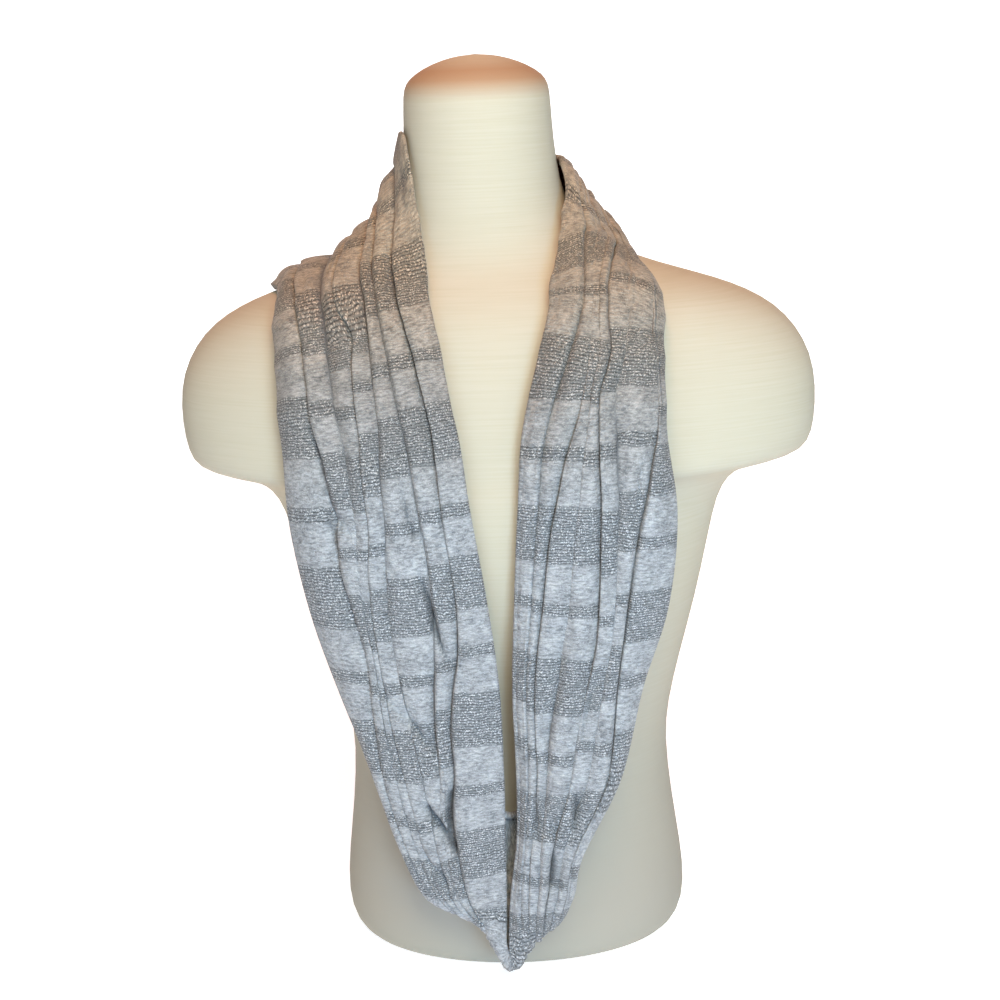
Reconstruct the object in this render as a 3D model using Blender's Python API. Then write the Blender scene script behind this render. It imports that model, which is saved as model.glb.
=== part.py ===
"""A wide knitted infinity scarf, worn as one long loop on a limbless dress form.

Everything is in metres, +Z up. The form faces -Y, so -X is the wearer's right. The origin is on the floor,
under the middle of the whole object. The cloth is one gathered band. It is laid out on a "hang surface", the
upright oval that the band rests on at the neck and shoulders and hangs from below the chest. A place on that
surface is a turn (degrees round the neck, 90 at the nape and 270 at the middle of the front), a height, and
a lift off the surface. The band's sections and its creases are two tables, and each section is pleated
between its rolled neck-side edge and its outer turn, and tucks under to the hem.
"""

import math

import bpy
import bmesh
from mathutils import Matrix
import numpy as np

MM = 0.001

# ---------------------------------------------------------------- driving dimensions
FORM_HEIGHT = 688 * MM
FORM_SEGMENTS = 40  # round each ring of the form
CLOTH_WALL = 1.2 * MM
SEAM_GAP = 0.3 * MM  # between the stretches of the scarf
FULL_PLEAT_WIDTH = 12 * MM  # a crease beside a narrower pleat is shallower in proportion
CREST_FULLNESS = 0.75  # 0 is a plain wave, near 1 has broad crests and pinched troughs
FULL_CREST_WIDTH = 20 * MM  # a narrower pleat is nearer to a plain wave
ROLL_RADIUS = 0.4  # of the pleats' height: the neck-side edge rolls under
ROLL_TAIL = 4 * MM
PLEAT_STEPS = 6  # spans across one pleat
TURN_STEPS = 9  # spans from the outer turn to the hem
ROLL_STEPS = 4  # spans round the rolled edge
CURVE_STEPS = 160  # fine steps along a section, before it is pleated

# Rings of the dress form: height, half width and half depth in mm, and how far its middle lies to the side
# (+X) and behind (+Y). The neck leans a little to the wearer's right.
FORM_RINGS = (
    # height, half_width, half_depth, side, back
    (0.0, 113, 80, 0, 0),
    (3.0, 122, 88, 0, 0),
    (12.0, 131, 94, 0, 0),
    (32.0, 136, 97, 0, 0),
    (66.0, 133.5, 96, 0, 0),
    (109.0, 127, 92, 0, 1),
    (155.0, 123, 89, 0, 2),
    (184.0, 126, 91, 0, 2),
    (225.0, 136, 97, 0, 1),
    (270.0, 149, 103, 0, 0),
    (320.0, 160, 107, 0, 0),
    (352.0, 167, 108, 0, 0),
    (369.0, 177, 108, 0, 0),
    (377.5, 192, 107, 0, 0),
    (381.0, 210, 106.5, 0, 0),
    (384.5, 228, 106, 0, 0),
    (391.0, 237.5, 105.5, 0, 0),
    (407.0, 242, 105, 0, 0),
    (434.0, 243.5, 103, 0, 0),
    (458.0, 240, 100, 0, 1),
    (479.0, 229, 96, 0, 2),
    (495.0, 214, 92, 0, 3),
    (507.0, 194, 87, 0, 4),
    (516.0, 171, 82, -0.5, 5),
    (524.0, 144, 77, -1, 6),
    (533.0, 116, 71, -2, 7),
    (545.0, 90, 65, -3, 7),
    (560.0, 73, 60, -4, 6),
    (580.0, 62.5, 57, -5, 5),
    (608.0, 57, 54.5, -5, 3),
    (640.0, 55, 53, -5, 1),
    (661.0, 54.5, 52.5, -5, 0),
    (668.5, 52, 50, -5, 0),
    (675.0, 45.5, 44, -5, 0),
    (682.0, 32, 31, -5, 0),
    (686.5, 17, 16.5, -5, 0),
)

# The hang surface: the form's own shoulders and neck with a little room, and straight down below the chest.
HANG_SURFACE = (
    # height, half_width, half_depth, side, back
    (0.0, 243, 109.5, 0, 0),
    (400.0, 243.5, 109.5, 0, 0),
    (440.0, 245, 106.5, 0, 0),
    (470.0, 237, 102.5, 0, 1.5),
    (495.0, 215.5, 96, 0, 3),
    (508.0, 193.5, 90, 0, 4),
    (517.0, 170, 84.5, -0.5, 5),
    (525.0, 144, 79.5, -1, 6),
    (536.0, 116, 74, -2, 7),
    (550.0, 91, 68.5, -3.5, 6.5),
    (570.0, 72, 63, -4.5, 5.5),
    (600.0, 61, 58.5, -5, 3.5),
    (640.0, 57.5, 56, -5, 1),
    (700.0, 57, 55, -5, 0),
)

# One row for each section of the band: its neck-side edge, its middle, its outer turn and its hem. Every
# edge is a turn, a height and a lift; pleat is how high the pleats stand there.
SECTIONS = (
    # name, (edge_turn, edge_height, edge_lift), (middle_turn, middle_height, middle_lift),
    # (outer_turn, outer_height, outer_lift), (hem_turn, hem_height, hem_lift), pleat
    ("nape", (90, 612, 6), (90, 558, 11), (90, 506, 6), (90, 490, 1), 5),
    ("right_back", (130, 620, 6), (125, 561, 11), (122, 504, 6), (121, 489, 1), 5),
    ("right_shoulder_back", (170, 626, 5), (160, 570, 8), (153, 519, 5), (152, 508, 0.5), 5),
    ("right_shoulder", (201, 633, 5), (188, 570, 7), (180, 519, 5), (179.5, 518, 0.5), 5),
    ("right_neck_root", (217, 615, 6.5), (206, 562, 10), (201, 518, 7), (201, 518, 0.5), 5),
    ("right_collarbone", (240.5, 561, 8), (229, 529, 15), (219.5, 506, 10), (223, 505, 1), 5),
    ("right_upper_chest", (258.6, 506, 9), (243, 488, 17), (230.2, 474, 11), (237, 472, 1.5), 6),
    ("right_chest", (264.1, 438, 9), (248.5, 431, 18), (233, 425, 12), (242, 424, 1.5), 6),
    ("right_ribs", (266.3, 367, 9), (250, 363, 18), (233.6, 360, 12), (244, 362, 3), 6),
    ("right_waist", (268.5, 298, 10), (252.6, 297, 18), (236.7, 296, 12), (248, 302, 3), 6),
    ("right_belly", (269.8, 236, 11), (256, 237, 19), (241.5, 238, 13), (253, 250, 2), 6.5),
    ("right_low", (270.3, 172, 14), (259.4, 172, 21), (247.8, 172, 15), (259, 198, 1), 6.5),
    ("right_lobe", (270.2, 116, 17), (262, 113, 23), (253.2, 112, 17), (263, 160, 0), 6),
    ("right_turn", (269.8, 72, 21), (265.3, 74, 24), (258, 82, 17), (267, 142, -2), 5),
    ("right_tip", (269.7, 44, 25), (267.0, 60, 24), (262.4, 69, 14), (269.3, 136, -3), 3.5),
    ("bottom", (270.6, 31, 27), (270.6, 16, 23), (270.8, 86, 8), (271, 133, -4), 3),
    ("left_tip", (271.6, 42, 25), (274.4, 42, 24), (277.8, 56, 14), (272.7, 135, -3), 3.5),
    ("left_turn", (272.5, 76, 20), (276.6, 75, 24), (281.2, 74, 18), (275, 141, -2), 5),
    ("left_lobe", (273.0, 122, 17), (278.4, 115, 23), (283.2, 108, 18), (278, 154, 0), 6),
    ("left_low", (273.5, 172, 14), (282.5, 169, 21), (290.7, 166, 15), (281.5, 190, 1), 6.5),
    ("left_belly", (273.4, 236, 11), (284.4, 235, 19), (295.3, 234, 13), (286, 246, 2), 6.5),
    ("left_waist", (274.2, 298, 10), (287.4, 296, 18), (300.6, 294, 12), (290, 300, 3), 6),
    ("left_ribs", (275.4, 367, 9), (289, 365, 18), (302.6, 362, 12), (291, 364, 3), 6),
    ("left_chest", (277.3, 438, 9), (289, 435, 18), (300.7, 432, 12), (291, 431, 1.5), 6),
    ("left_upper_chest", (283.0, 502, 9), (293.5, 493, 17), (303.8, 485, 11), (297.5, 487, 1.5), 6),
    ("left_collarbone", (313, 561, 7), (313, 537, 15), (315.8, 519, 10), (314.5, 519, 1), 5),
    ("left_neck_root", (337, 599, 6.5), (336, 568, 13), (338, 540, 8), (339, 538, 1), 4.5),
    ("left_shoulder", (353, 606, 5.5), (357, 573, 11), (360, 545, 7), (360, 536, 1.5), 4.5),
    ("left_shoulder_back", (375, 607, 6), (380, 569, 11), (384, 546, 6), (386, 533, 0.5), 5),
    ("left_back", (412, 607, 6), (416, 558, 12), (420, 521, 6), (421, 507, 1), 5),
)

# The creases between pleats, from the neck side out, at the sections where they are set. Each crease has the
# share of the way from the rolled edge to the outer turn, and its depth as a share of the pleat's height.
CREASES = (
    # name, (place, depth) for each of the six creases
    ("nape", (0.14, 0.8), (0.28, 0.7), (0.42, 0.9), (0.56, 0.8), (0.70, 0.9), (0.85, 0.7)),
    ("right_shoulder", (0.14, 0.9), (0.27, 0.7), (0.40, 0.9), (0.53, 0.8), (0.67, 0.9), (0.82, 0.8)),
    ("right_collarbone", (0.17, 1.0), (0.26, 0.8), (0.35, 0.8), (0.45, 0.9), (0.62, 0.7), (0.74, 0.9)),
    ("right_upper_chest", (0.14, 1.0), (0.23, 0.6), (0.31, 0.6), (0.43, 0.8), (0.60, 0.5), (0.70, 1.0)),
    ("right_chest", (0.10, 1.0), (0.22, 0.3), (0.32, 0.2), (0.45, 0.7), (0.57, 0.1), (0.67, 1.0)),
    ("right_ribs", (0.14, 1.0), (0.26, 0.0), (0.36, 0.0), (0.46, 0.5), (0.55, 0.0), (0.63, 1.0)),
    ("right_waist", (0.20, 0.8), (0.31, 0.0), (0.40, 0.1), (0.48, 0.3), (0.56, 0.0), (0.63, 0.9)),
    ("right_belly", (0.30, 0.9), (0.38, 0.3), (0.46, 0.2), (0.54, 0.3), (0.62, 0.1), (0.70, 0.9)),
    ("right_low", (0.38, 1.0), (0.47, 0.5), (0.54, 0.4), (0.62, 0.3), (0.69, 0.3), (0.76, 0.8)),
    ("right_lobe", (0.50, 1.0), (0.59, 0.3), (0.67, 0.4), (0.74, 0.3), (0.81, 0.2), (0.89, 0.4)),
    ("right_turn", (0.42, 1.0), (0.53, 0.4), (0.63, 0.3), (0.71, 0.3), (0.79, 0.2), (0.88, 0.2)),
    ("bottom", (0.28, 0.6), (0.40, 0.5), (0.52, 0.5), (0.63, 0.5), (0.75, 0.5), (0.87, 0.3)),
    ("left_turn", (0.20, 0.5), (0.38, 0.6), (0.56, 0.9), (0.69, 0.8), (0.80, 0.4), (0.90, 0.3)),
    ("left_lobe", (0.18, 0.4), (0.37, 0.5), (0.52, 0.9), (0.65, 0.7), (0.78, 0.5), (0.90, 0.3)),
    ("left_low", (0.13, 0.4), (0.28, 0.9), (0.41, 0.4), (0.55, 0.8), (0.68, 0.4), (0.82, 0.5)),
    ("left_belly", (0.15, 0.8), (0.25, 0.7), (0.34, 0.6), (0.44, 0.6), (0.57, 0.2), (0.72, 1.0)),
    ("left_waist", (0.18, 0.9), (0.28, 0.3), (0.38, 0.3), (0.47, 0.3), (0.57, 0.1), (0.66, 1.0)),
    ("left_ribs", (0.22, 1.0), (0.31, 0.0), (0.39, 0.1), (0.48, 0.5), (0.57, 0.2), (0.67, 0.9)),
    ("left_chest", (0.30, 0.9), (0.36, 0.0), (0.41, 0.0), (0.49, 1.0), (0.59, 0.7), (0.73, 0.2)),
    ("left_upper_chest", (0.31, 0.5), (0.37, 0.1), (0.43, 0.1), (0.50, 1.0), (0.61, 0.3), (0.75, 0.4)),
    ("left_collarbone", (0.33, 0.8), (0.41, 0.0), (0.48, 0.0), (0.56, 0.9), (0.70, 0.3), (0.85, 0.3)),
    ("left_neck_root", (0.25, 0.8), (0.35, 0.1), (0.46, 0.2), (0.57, 0.9), (0.71, 0.4), (0.86, 0.4)),
    ("left_shoulder", (0.15, 0.8), (0.29, 0.7), (0.43, 0.9), (0.57, 0.8), (0.71, 0.9), (0.85, 0.7)),
)
# How high each pleat's crest stands, and how far it leans over its outer neighbour for each mm of height.
PLEATS = (
    # crest, lean
    (0.90, 0.30),
    (1.00, 0.40),
    (0.80, -0.30),
    (1.00, 0.40),
    (0.85, -0.30),
    (1.00, 0.40),
    (0.85, 0.0),
)
EDGE_LEVEL = 0.4  # how high the rolled edge stands, as a share of a pleat
OUTER_LEVEL = 0.2  # and the outer turn

# The stretches of the scarf: name, first section, last section, and how many rows of faces it has.
STRETCHES = (
    ("scarf_right_front", "right_shoulder", "right_low", 13),
    ("scarf_bottom", "right_low", "left_low", 17),
    ("scarf_left_front", "left_low", "left_shoulder", 13),
    ("scarf_back_neck", "left_shoulder", "right_shoulder", 14),
)

JERSEY_CREAM = (0.76, 0.72, 0.58, 1)
KNIT_GREY = (0.36, 0.38, 0.41, 1)


def finish_material(name, colour, roughness):
    material = bpy.data.materials.new(name)
    material.use_nodes = True
    shader = material.node_tree.nodes["Principled BSDF"]
    shader.inputs["Base Color"].default_value = colour
    shader.inputs["Roughness"].default_value = roughness
    shader.inputs["Metallic"].default_value = 0.0
    return material


def named_object(name, mesh, material):
    made = bpy.data.objects.new(name, mesh)
    mesh.materials.append(material)
    bpy.context.scene.collection.objects.link(made)
    return made


# ---------------------------------------------------------------- the dress form


def form_mesh():
    """Rings from the floor to the domed neck top, bridged into one closed skin with a flat underside."""
    shape = bmesh.new()
    rings = []
    for height, half_width, half_depth, side, back in FORM_RINGS:
        corners = [
            shape.verts.new(
                (
                    side * MM + half_width * MM * math.cos(turn),
                    back * MM + half_depth * MM * math.sin(turn),
                    height * MM,
                )
            )
            for turn in np.linspace(0, 2 * math.pi, FORM_SEGMENTS, endpoint=False)
        ]
        rings.append([shape.edges.new((a, b)) for a, b in zip(corners, corners[1:] + corners[:1])])
    for lower, upper in zip(rings, rings[1:]):
        bmesh.ops.bridge_loops(shape, edges=lower + upper)
    shape.faces.new([edge.verts[0] for edge in rings[0]])
    top_side, top_back = FORM_RINGS[-1][3:]
    middle = shape.verts.new((top_side * MM, top_back * MM, FORM_HEIGHT))
    for edge in rings[-1]:
        shape.faces.new((*edge.verts, middle))
    bmesh.ops.recalc_face_normals(shape, faces=shape.faces)
    mesh = bpy.data.meshes.new("dress_form")
    shape.to_mesh(mesh)
    shape.free()
    mesh.shade_smooth()
    return mesh


# ---------------------------------------------------------------- the band's unpleated shape


def hang_surface(turn, height):
    """Points on the hang surface. turn is in degrees and height in mm."""
    table = np.array(HANG_SURFACE)
    half_width, half_depth, side, back = (np.interp(height, table[:, 0], table[:, k]) for k in (1, 2, 3, 4))
    angle = np.radians(turn)
    across, through = side + half_width * np.cos(angle), back + half_depth * np.sin(angle)
    return np.stack([across, through, height], axis=-1) * MM


def hang_point(turn, height, lift):
    """Points off the hang surface by lift mm, square to it."""
    around = hang_surface(turn + 1, height) - hang_surface(turn - 1, height)
    upward = hang_surface(turn, height + 8) - hang_surface(turn, height - 8)
    out = np.cross(around, upward)
    out /= np.linalg.norm(out, axis=-1)[..., None]
    return hang_surface(turn, height) + out * np.asarray(lift)[..., None] * MM


SECTION_PLACE = {row[0]: place for place, row in enumerate(SECTIONS)}
SECTION_COUNT = len(SECTIONS)
SECTION_NUMBERS = np.array([np.concatenate([*row[1:5], row[5:]]) for row in SECTIONS])
LAP = np.array([360.0, 0, 0] * 4 + [0])


def section_row(index):
    """A section's numbers, with turns that keep growing from one lap of the loop to the next."""
    return SECTION_NUMBERS[index % SECTION_COUNT] + (index // SECTION_COUNT) * LAP


def section_numbers(place):
    """The section table at any place on the loop, by a Catmull-Rom spline through its rows."""
    index = math.floor(place)
    t = place - index
    before, start, end, after = (section_row(index + k) for k in (-1, 0, 1, 2))
    return 0.5 * (
        2 * start
        + (end - before) * t
        + (2 * before - 5 * start + 4 * end - after) * t**2
        + (3 * start - before - 3 * end + after) * t**3
    )


def crease_row(index):
    """The place on the loop of a row of the crease table, and its creases, counted on from lap to lap."""
    row = CREASES[index % len(CREASES)]
    return SECTION_PLACE[row[0]] + (index // len(CREASES)) * SECTION_COUNT, np.array(row[1:])


def crease_table(place):
    """(place, depth) of each crease at a place on the loop, by a Hermite spline through the rows that set them."""
    where = place % SECTION_COUNT
    index = int(np.searchsorted([crease_row(k)[0] for k in range(len(CREASES))], where, side="right")) - 1
    (p0, before), (p1, start), (p2, end), (p3, after) = (crease_row(index + k) for k in (-1, 0, 1, 2))
    span = p2 - p1
    leaving = (end - before) / (p2 - p0) * span
    arriving = (after - start) / (p3 - p1) * span
    t = (where - p1) / span
    creases = (
        start * (1 + 2 * t) * (1 - t) ** 2
        + leaving * t * (1 - t) ** 2
        + end * t**2 * (3 - 2 * t)
        - arriving * t**2 * (1 - t)
    )
    return np.clip(creases, 0, 1)


def quadratic_b_spline(controls, steps):
    """A quadratic B-spline over rows of control values, from the first to the last, at even parameters."""
    ends = np.vstack([controls[:1], controls, controls[-1:]])
    spans = len(controls)
    place = np.linspace(0, spans, steps + 1)
    index = np.minimum(place.astype(int), spans - 1)
    t = (place - index)[:, None]
    return 0.5 * (
        (1 - t) ** 2 * ends[index] + (1 + 2 * t - 2 * t**2) * ends[index + 1] + t**2 * ends[index + 2]
    )


def flat_section(place):
    """The section before it is pleated: fine points, their distance along it, and the outer turn's distance."""
    edge, middle, outer, hem = section_numbers(place)[:12].reshape(4, 3)
    near_outer = middle + (outer - middle) * 0.8
    under = np.array([outer[0], outer[1], hem[2]])
    controls = np.array([edge, middle, near_outer, outer, under, hem])
    line = hang_point(*quadratic_b_spline(controls, CURVE_STEPS).T)
    along = np.concatenate([[0], np.cumsum(np.linalg.norm(np.diff(line, axis=0), axis=1))])
    return line, along, along[round(CURVE_STEPS * 3.5 / len(controls))]


def on_line(line, along, wanted):
    """Points at the wanted distances along a line of fine points."""
    return np.stack([np.interp(wanted, along, line[:, k]) for k in range(3)], axis=-1)


# ---------------------------------------------------------------- pleats


def pleat_profile(place, length, pleat):
    """Distance along the section, height, and sideways lean, from the rolled edge to the outer turn."""
    places, depths = crease_table(place).T
    stops = np.concatenate([[0], places, [1]]) * length
    narrower = np.minimum(np.diff(stops)[:-1], np.diff(stops)[1:])
    depths = depths * np.minimum(1, narrower / FULL_PLEAT_WIDTH)
    levels = np.concatenate([[EDGE_LEVEL], 1 - depths, [OUTER_LEVEL]])
    distances, heights, leans = [], [], []
    for number, (crest, lean) in enumerate(PLEATS):
        width = stops[number + 1] - stops[number]
        fullness = CREST_FULLNESS * min(1, width / FULL_CREST_WIDTH)
        wave = np.linspace(-math.pi, math.pi, PLEAT_STEPS + 1)[(number > 0) :]
        across = 0.5 + (wave + fullness * np.sin(wave)) / (2 * math.pi)
        rise = (1 + np.cos(wave)) / 2
        foot = crest * np.where(wave < 0, levels[number], levels[number + 1])
        height = (foot + (crest - foot) * rise) * pleat * MM
        distances.append(stops[number] + width * across)
        heights.append(height)
        leans.append(lean * rise * (height - foot * pleat * MM))
    return np.concatenate(distances), np.concatenate(heights), np.concatenate(leans)


def pleated_section(place):
    """One section's points, from the rolled neck-side edge over the pleats and round the outer turn to the hem."""
    line, along, outer = flat_section(place)
    pleat = section_numbers(place)[12]
    distances, heights, leans = pleat_profile(place, outer, pleat)
    tuck = np.linspace(outer, along[-1], TURN_STEPS + 1)[1:]
    fade = np.linspace(1, 0, TURN_STEPS + 1)[1:] ** 2
    distances = np.concatenate([distances + leans, tuck])
    heights = np.concatenate([heights, heights[-1] * fade])
    small = 0.02
    before, after = flat_section(place - small), flat_section(place + small)
    forward = on_line(after[0], after[1], distances * after[2] / outer) - on_line(
        before[0], before[1], distances * before[2] / outer
    )
    sideways = on_line(line, along, distances + MM) - on_line(line, along, distances - MM)
    out = np.cross(sideways, forward)
    out /= np.linalg.norm(out, axis=1)[:, None]
    points = on_line(line, along, distances) + out * heights[:, None]
    side = sideways[0] / np.linalg.norm(sideways[0])
    radius = ROLL_RADIUS * pleat * MM
    centre = points[0] - out[0] * radius
    roll = [
        centre + radius * (out[0] * math.cos(angle) - side * math.sin(angle))
        for angle in np.linspace(math.pi, 0, ROLL_STEPS + 1)[:-1]
    ]
    tail = centre - out[0] * radius + side * ROLL_TAIL
    return np.vstack([[tail], roll, points])


# ---------------------------------------------------------------- the stretches


def sheet_normals(grid):
    """Which way out of the cloth is, at each point of a grid of sections."""
    forward = np.gradient(grid, axis=0)
    sideways = np.gradient(grid, axis=1)
    out = np.cross(sideways, forward)
    return out / np.linalg.norm(out, axis=2)[..., None]


def stretch_walls(first, last, rows):
    """The two faces of a stretch's cloth as grids of points, drawn in by half the seam gap at each end."""
    start, end = SECTION_PLACE[first], SECTION_PLACE[last]
    end += SECTION_COUNT * (end < start)
    step = (end - start) / rows
    grid = np.array([pleated_section(start + step * row) for row in range(-1, rows + 2)])
    normals = sheet_normals(grid)[1:-1]
    grid = grid[1:-1]
    for row, inner in ((0, 1), (-1, -2)):
        inward = grid[inner] - grid[row]
        grid[row] += inward / np.linalg.norm(inward, axis=1)[:, None] * SEAM_GAP / 2
    return grid + normals * CLOTH_WALL / 2, grid - normals * CLOTH_WALL / 2


def stretch_mesh(name, first, last, rows):
    """A closed skin over the two faces of the stretch's cloth and the four rims between them."""
    shape = bmesh.new()
    upper, lower = (
        [[shape.verts.new(point) for point in section] for section in wall]
        for wall in stretch_walls(first, last, rows)
    )
    for wall in (upper, lower):
        for here, there in zip(wall, wall[1:]):
            for k in range(len(here) - 1):
                shape.faces.new((here[k], here[k + 1], there[k + 1], there[k]))
    rims = ([row[0] for row in upper], [row[0] for row in lower]), (upper[0], lower[0])
    rims += ([row[-1] for row in upper], [row[-1] for row in lower]), (upper[-1], lower[-1])
    for top, under in rims:
        for k in range(len(top) - 1):
            shape.faces.new((top[k], top[k + 1], under[k + 1], under[k]))
    bmesh.ops.recalc_face_normals(shape, faces=shape.faces)
    mesh = bpy.data.meshes.new(name)
    shape.to_mesh(mesh)
    shape.free()
    mesh.shade_smooth()
    mesh.set_sharp_from_angle(angle=math.radians(60))
    return mesh


def centre_over_origin(objects):
    """Move everything together so that the middle of the whole stands over the origin."""
    corners = np.array([vertex.co for made in objects for vertex in made.data.vertices])
    middle = (corners.min(axis=0) + corners.max(axis=0)) / 2
    for made in objects:
        made.data.transform(Matrix.Translation((-middle[0], -middle[1], 0)))


def main():
    for startup_object in list(bpy.data.objects):
        bpy.data.objects.remove(startup_object)
    jersey = finish_material("cream stretch jersey", JERSEY_CREAM, 0.85)
    knit = finish_material("grey striped knit", KNIT_GREY, 0.8)
    pieces = [named_object("dress_form", form_mesh(), jersey)]
    for name, first, last, rows in STRETCHES:
        pieces.append(named_object(name, stretch_mesh(name, first, last, rows), knit))
    centre_over_origin(pieces)


main()
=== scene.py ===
# %% [markdown]
# # A knit infinity scarf on a dress form
# The object is a soft, wide band of striped knit, sewn into one long loop and worn once round the neck of a
# half-torso dress form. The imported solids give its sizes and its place. This script dresses them: it models
# the form's cover and the gathered band, finishes both, and sets up a small studio round them.

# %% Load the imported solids
import math

import bpy
import numpy as np
from mathutils import Matrix, Vector


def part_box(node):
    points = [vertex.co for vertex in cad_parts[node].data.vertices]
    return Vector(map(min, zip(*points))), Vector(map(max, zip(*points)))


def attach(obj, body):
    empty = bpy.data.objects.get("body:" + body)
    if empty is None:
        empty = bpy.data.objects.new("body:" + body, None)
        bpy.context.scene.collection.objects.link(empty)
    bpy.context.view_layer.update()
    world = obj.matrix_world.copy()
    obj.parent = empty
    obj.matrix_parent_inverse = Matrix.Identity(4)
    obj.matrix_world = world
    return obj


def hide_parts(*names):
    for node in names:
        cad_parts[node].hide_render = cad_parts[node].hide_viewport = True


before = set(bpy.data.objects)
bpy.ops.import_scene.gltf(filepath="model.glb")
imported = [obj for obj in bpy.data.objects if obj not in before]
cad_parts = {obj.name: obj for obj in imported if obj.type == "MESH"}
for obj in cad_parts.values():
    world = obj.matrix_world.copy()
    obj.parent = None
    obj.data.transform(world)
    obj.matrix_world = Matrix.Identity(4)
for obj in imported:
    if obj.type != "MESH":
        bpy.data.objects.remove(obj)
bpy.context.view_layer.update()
MM = 0.001

# %% [markdown]
# ## The studio
# A garment on a form is shown against white, in even light that comes mostly from above and in front. The
# floor sweeps up into a backdrop, so no edge shows. The camera stands a little above the chest and a touch to
# the wearer's left, with a long lens, which keeps the form's proportions true.

# %% Camera
CAMERA_TURN = math.radians(4.0)  # to the wearer's left of straight ahead
CAMERA_RISE = math.radians(13.0)
CAMERA_ROLL = math.radians(2.4)
CAMERA_DISTANCE = 1.55
AIM_HEIGHT = 0.35
LENS_MM = 72.0
SENSOR_MM = 36.0

form_low, form_high = (Vector(corner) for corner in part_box("dress_form"))
form_middle = (form_low + form_high) / 2  # the band hangs in front, so the form stands behind the origin
aim = Vector((0, form_middle.y, AIM_HEIGHT))

level_x, level_y = math.sin(CAMERA_TURN), -math.cos(CAMERA_TURN)
towards = Vector((level_x * math.cos(CAMERA_RISE), level_y * math.cos(CAMERA_RISE), math.sin(CAMERA_RISE)))
level_right = (-towards).cross(Vector((0, 0, 1))).normalized()
level_up = level_right.cross(-towards)
right = level_right * math.cos(CAMERA_ROLL) - level_up * math.sin(CAMERA_ROLL)
up = level_up * math.cos(CAMERA_ROLL) + level_right * math.sin(CAMERA_ROLL)
stand = Matrix((right, up, towards)).transposed().to_4x4()
stand.translation = aim + towards * CAMERA_DISTANCE

view = bpy.data.cameras.new("studio_camera")
view.lens, view.sensor_width = LENS_MM, SENSOR_MM
camera = bpy.data.objects.new("studio_camera", view)
camera.matrix_world = stand
bpy.context.scene.collection.objects.link(camera)
bpy.context.scene.camera = camera
print("camera at", tuple(round(value, 3) for value in camera.location))

# %% Colours and nodes
def from_hex(code):
    """An sRGB hex colour as the linear colour that Blender's sockets hold."""
    parts = [int(code[k : k + 2], 16) / 255 for k in (0, 2, 4)]
    return tuple(p / 12.92 if p <= 0.04045 else ((p + 0.055) / 1.055) ** 2.4 for p in parts) + (1.0,)


def first_output(node):
    """The output that holds a node's result: the first that it uses, such as the colour of a colour mix."""
    return next(socket for socket in node.outputs if socket.enabled)


def add_node(material, kind, inputs=None, **settings):
    """Add a node of any kind: settings are its own properties, inputs are values, nodes or sockets."""
    tree = material.node_tree
    made = tree.nodes.new("ShaderNode" + kind)
    for name, value in settings.items():
        setattr(made, name, value)
    for socket, value in (inputs or {}).items():
        if isinstance(value, bpy.types.Node):
            value = first_output(value)
        if isinstance(value, bpy.types.NodeSocket):
            tree.links.new(value, made.inputs[socket])
        else:
            made.inputs[socket].default_value = value
    return made


def new_material(name):
    """A material with its node tree, and its Principled shader."""
    made = bpy.data.materials.new(name)
    made.use_nodes = True
    return made, made.node_tree.nodes["Principled BSDF"]


print("white is", from_hex("FFFFFF"))

# %% Light and floor
FLOOR_HALF = 3.0
FLOOR_DROP_MM = 0.5  # just clear of the form's base
PAPER_GLOW = 0.68  # a light table under the paper keeps it white
ROOM_GLOW = 0.08


def soft_box(name, place, size, power, colour):
    """A square soft box that faces the chest."""
    lamp = bpy.data.lights.new(name, "AREA")
    lamp.size, lamp.energy, lamp.color = size, power, from_hex(colour)[:3]
    made = bpy.data.objects.new(name, lamp)
    made.location = place
    made.rotation_euler = (aim - Vector(place)).to_track_quat("-Z", "Y").to_euler()
    bpy.context.scene.collection.objects.link(made)


soft_box("key_light", (0.45, -1.66, 1.35), 0.8, 24, "FAFFEC")
soft_box("warm_upper_light", (0.0, -1.13, 1.99), 0.8, 25, "FFD2A4")
soft_box("low_cool_light", (0.68, -1.86, 0.24), 0.6, 27, "A4D2FF")
soft_box("side_fill_light", (-0.79, -1.69, 1.03), 0.8, 8, "B4DCFF")
soft_box("lamp_glow_above", (0.01, -0.10, 2.15), 0.5, 10, "FF5C2C")

room = bpy.data.worlds.new("white_room")
bpy.context.scene.world = room
room.use_nodes = True
room_light = room.node_tree.nodes["Background"]
room_light.inputs["Color"].default_value = from_hex("FFFFFF")
room_light.inputs["Strength"].default_value = ROOM_GLOW

# %% The paper sweep
bpy.ops.object.select_all(action="DESELECT")
bpy.ops.mesh.primitive_plane_add(size=2 * FLOOR_HALF, location=(0, 0, -FLOOR_DROP_MM * MM))
paper_sweep = bpy.context.object
paper_sweep.name = "paper_sweep"
bpy.ops.object.transform_apply(location=True)
bpy.ops.object.mode_set(mode="EDIT")
bpy.ops.mesh.select_mode(type="EDGE")
bpy.ops.mesh.select_all(action="DESELECT")
bpy.ops.object.mode_set(mode="OBJECT")
for edge in paper_sweep.data.edges:
    ends = [paper_sweep.data.vertices[k].co for k in edge.vertices]
    edge.select = min(end.y for end in ends) > FLOOR_HALF - MM  # the far edge
bpy.ops.object.mode_set(mode="EDIT")
bpy.ops.mesh.extrude_region_move(TRANSFORM_OT_translate={"value": (0, 0, FLOOR_HALF)})
bpy.ops.object.mode_set(mode="OBJECT")
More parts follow.
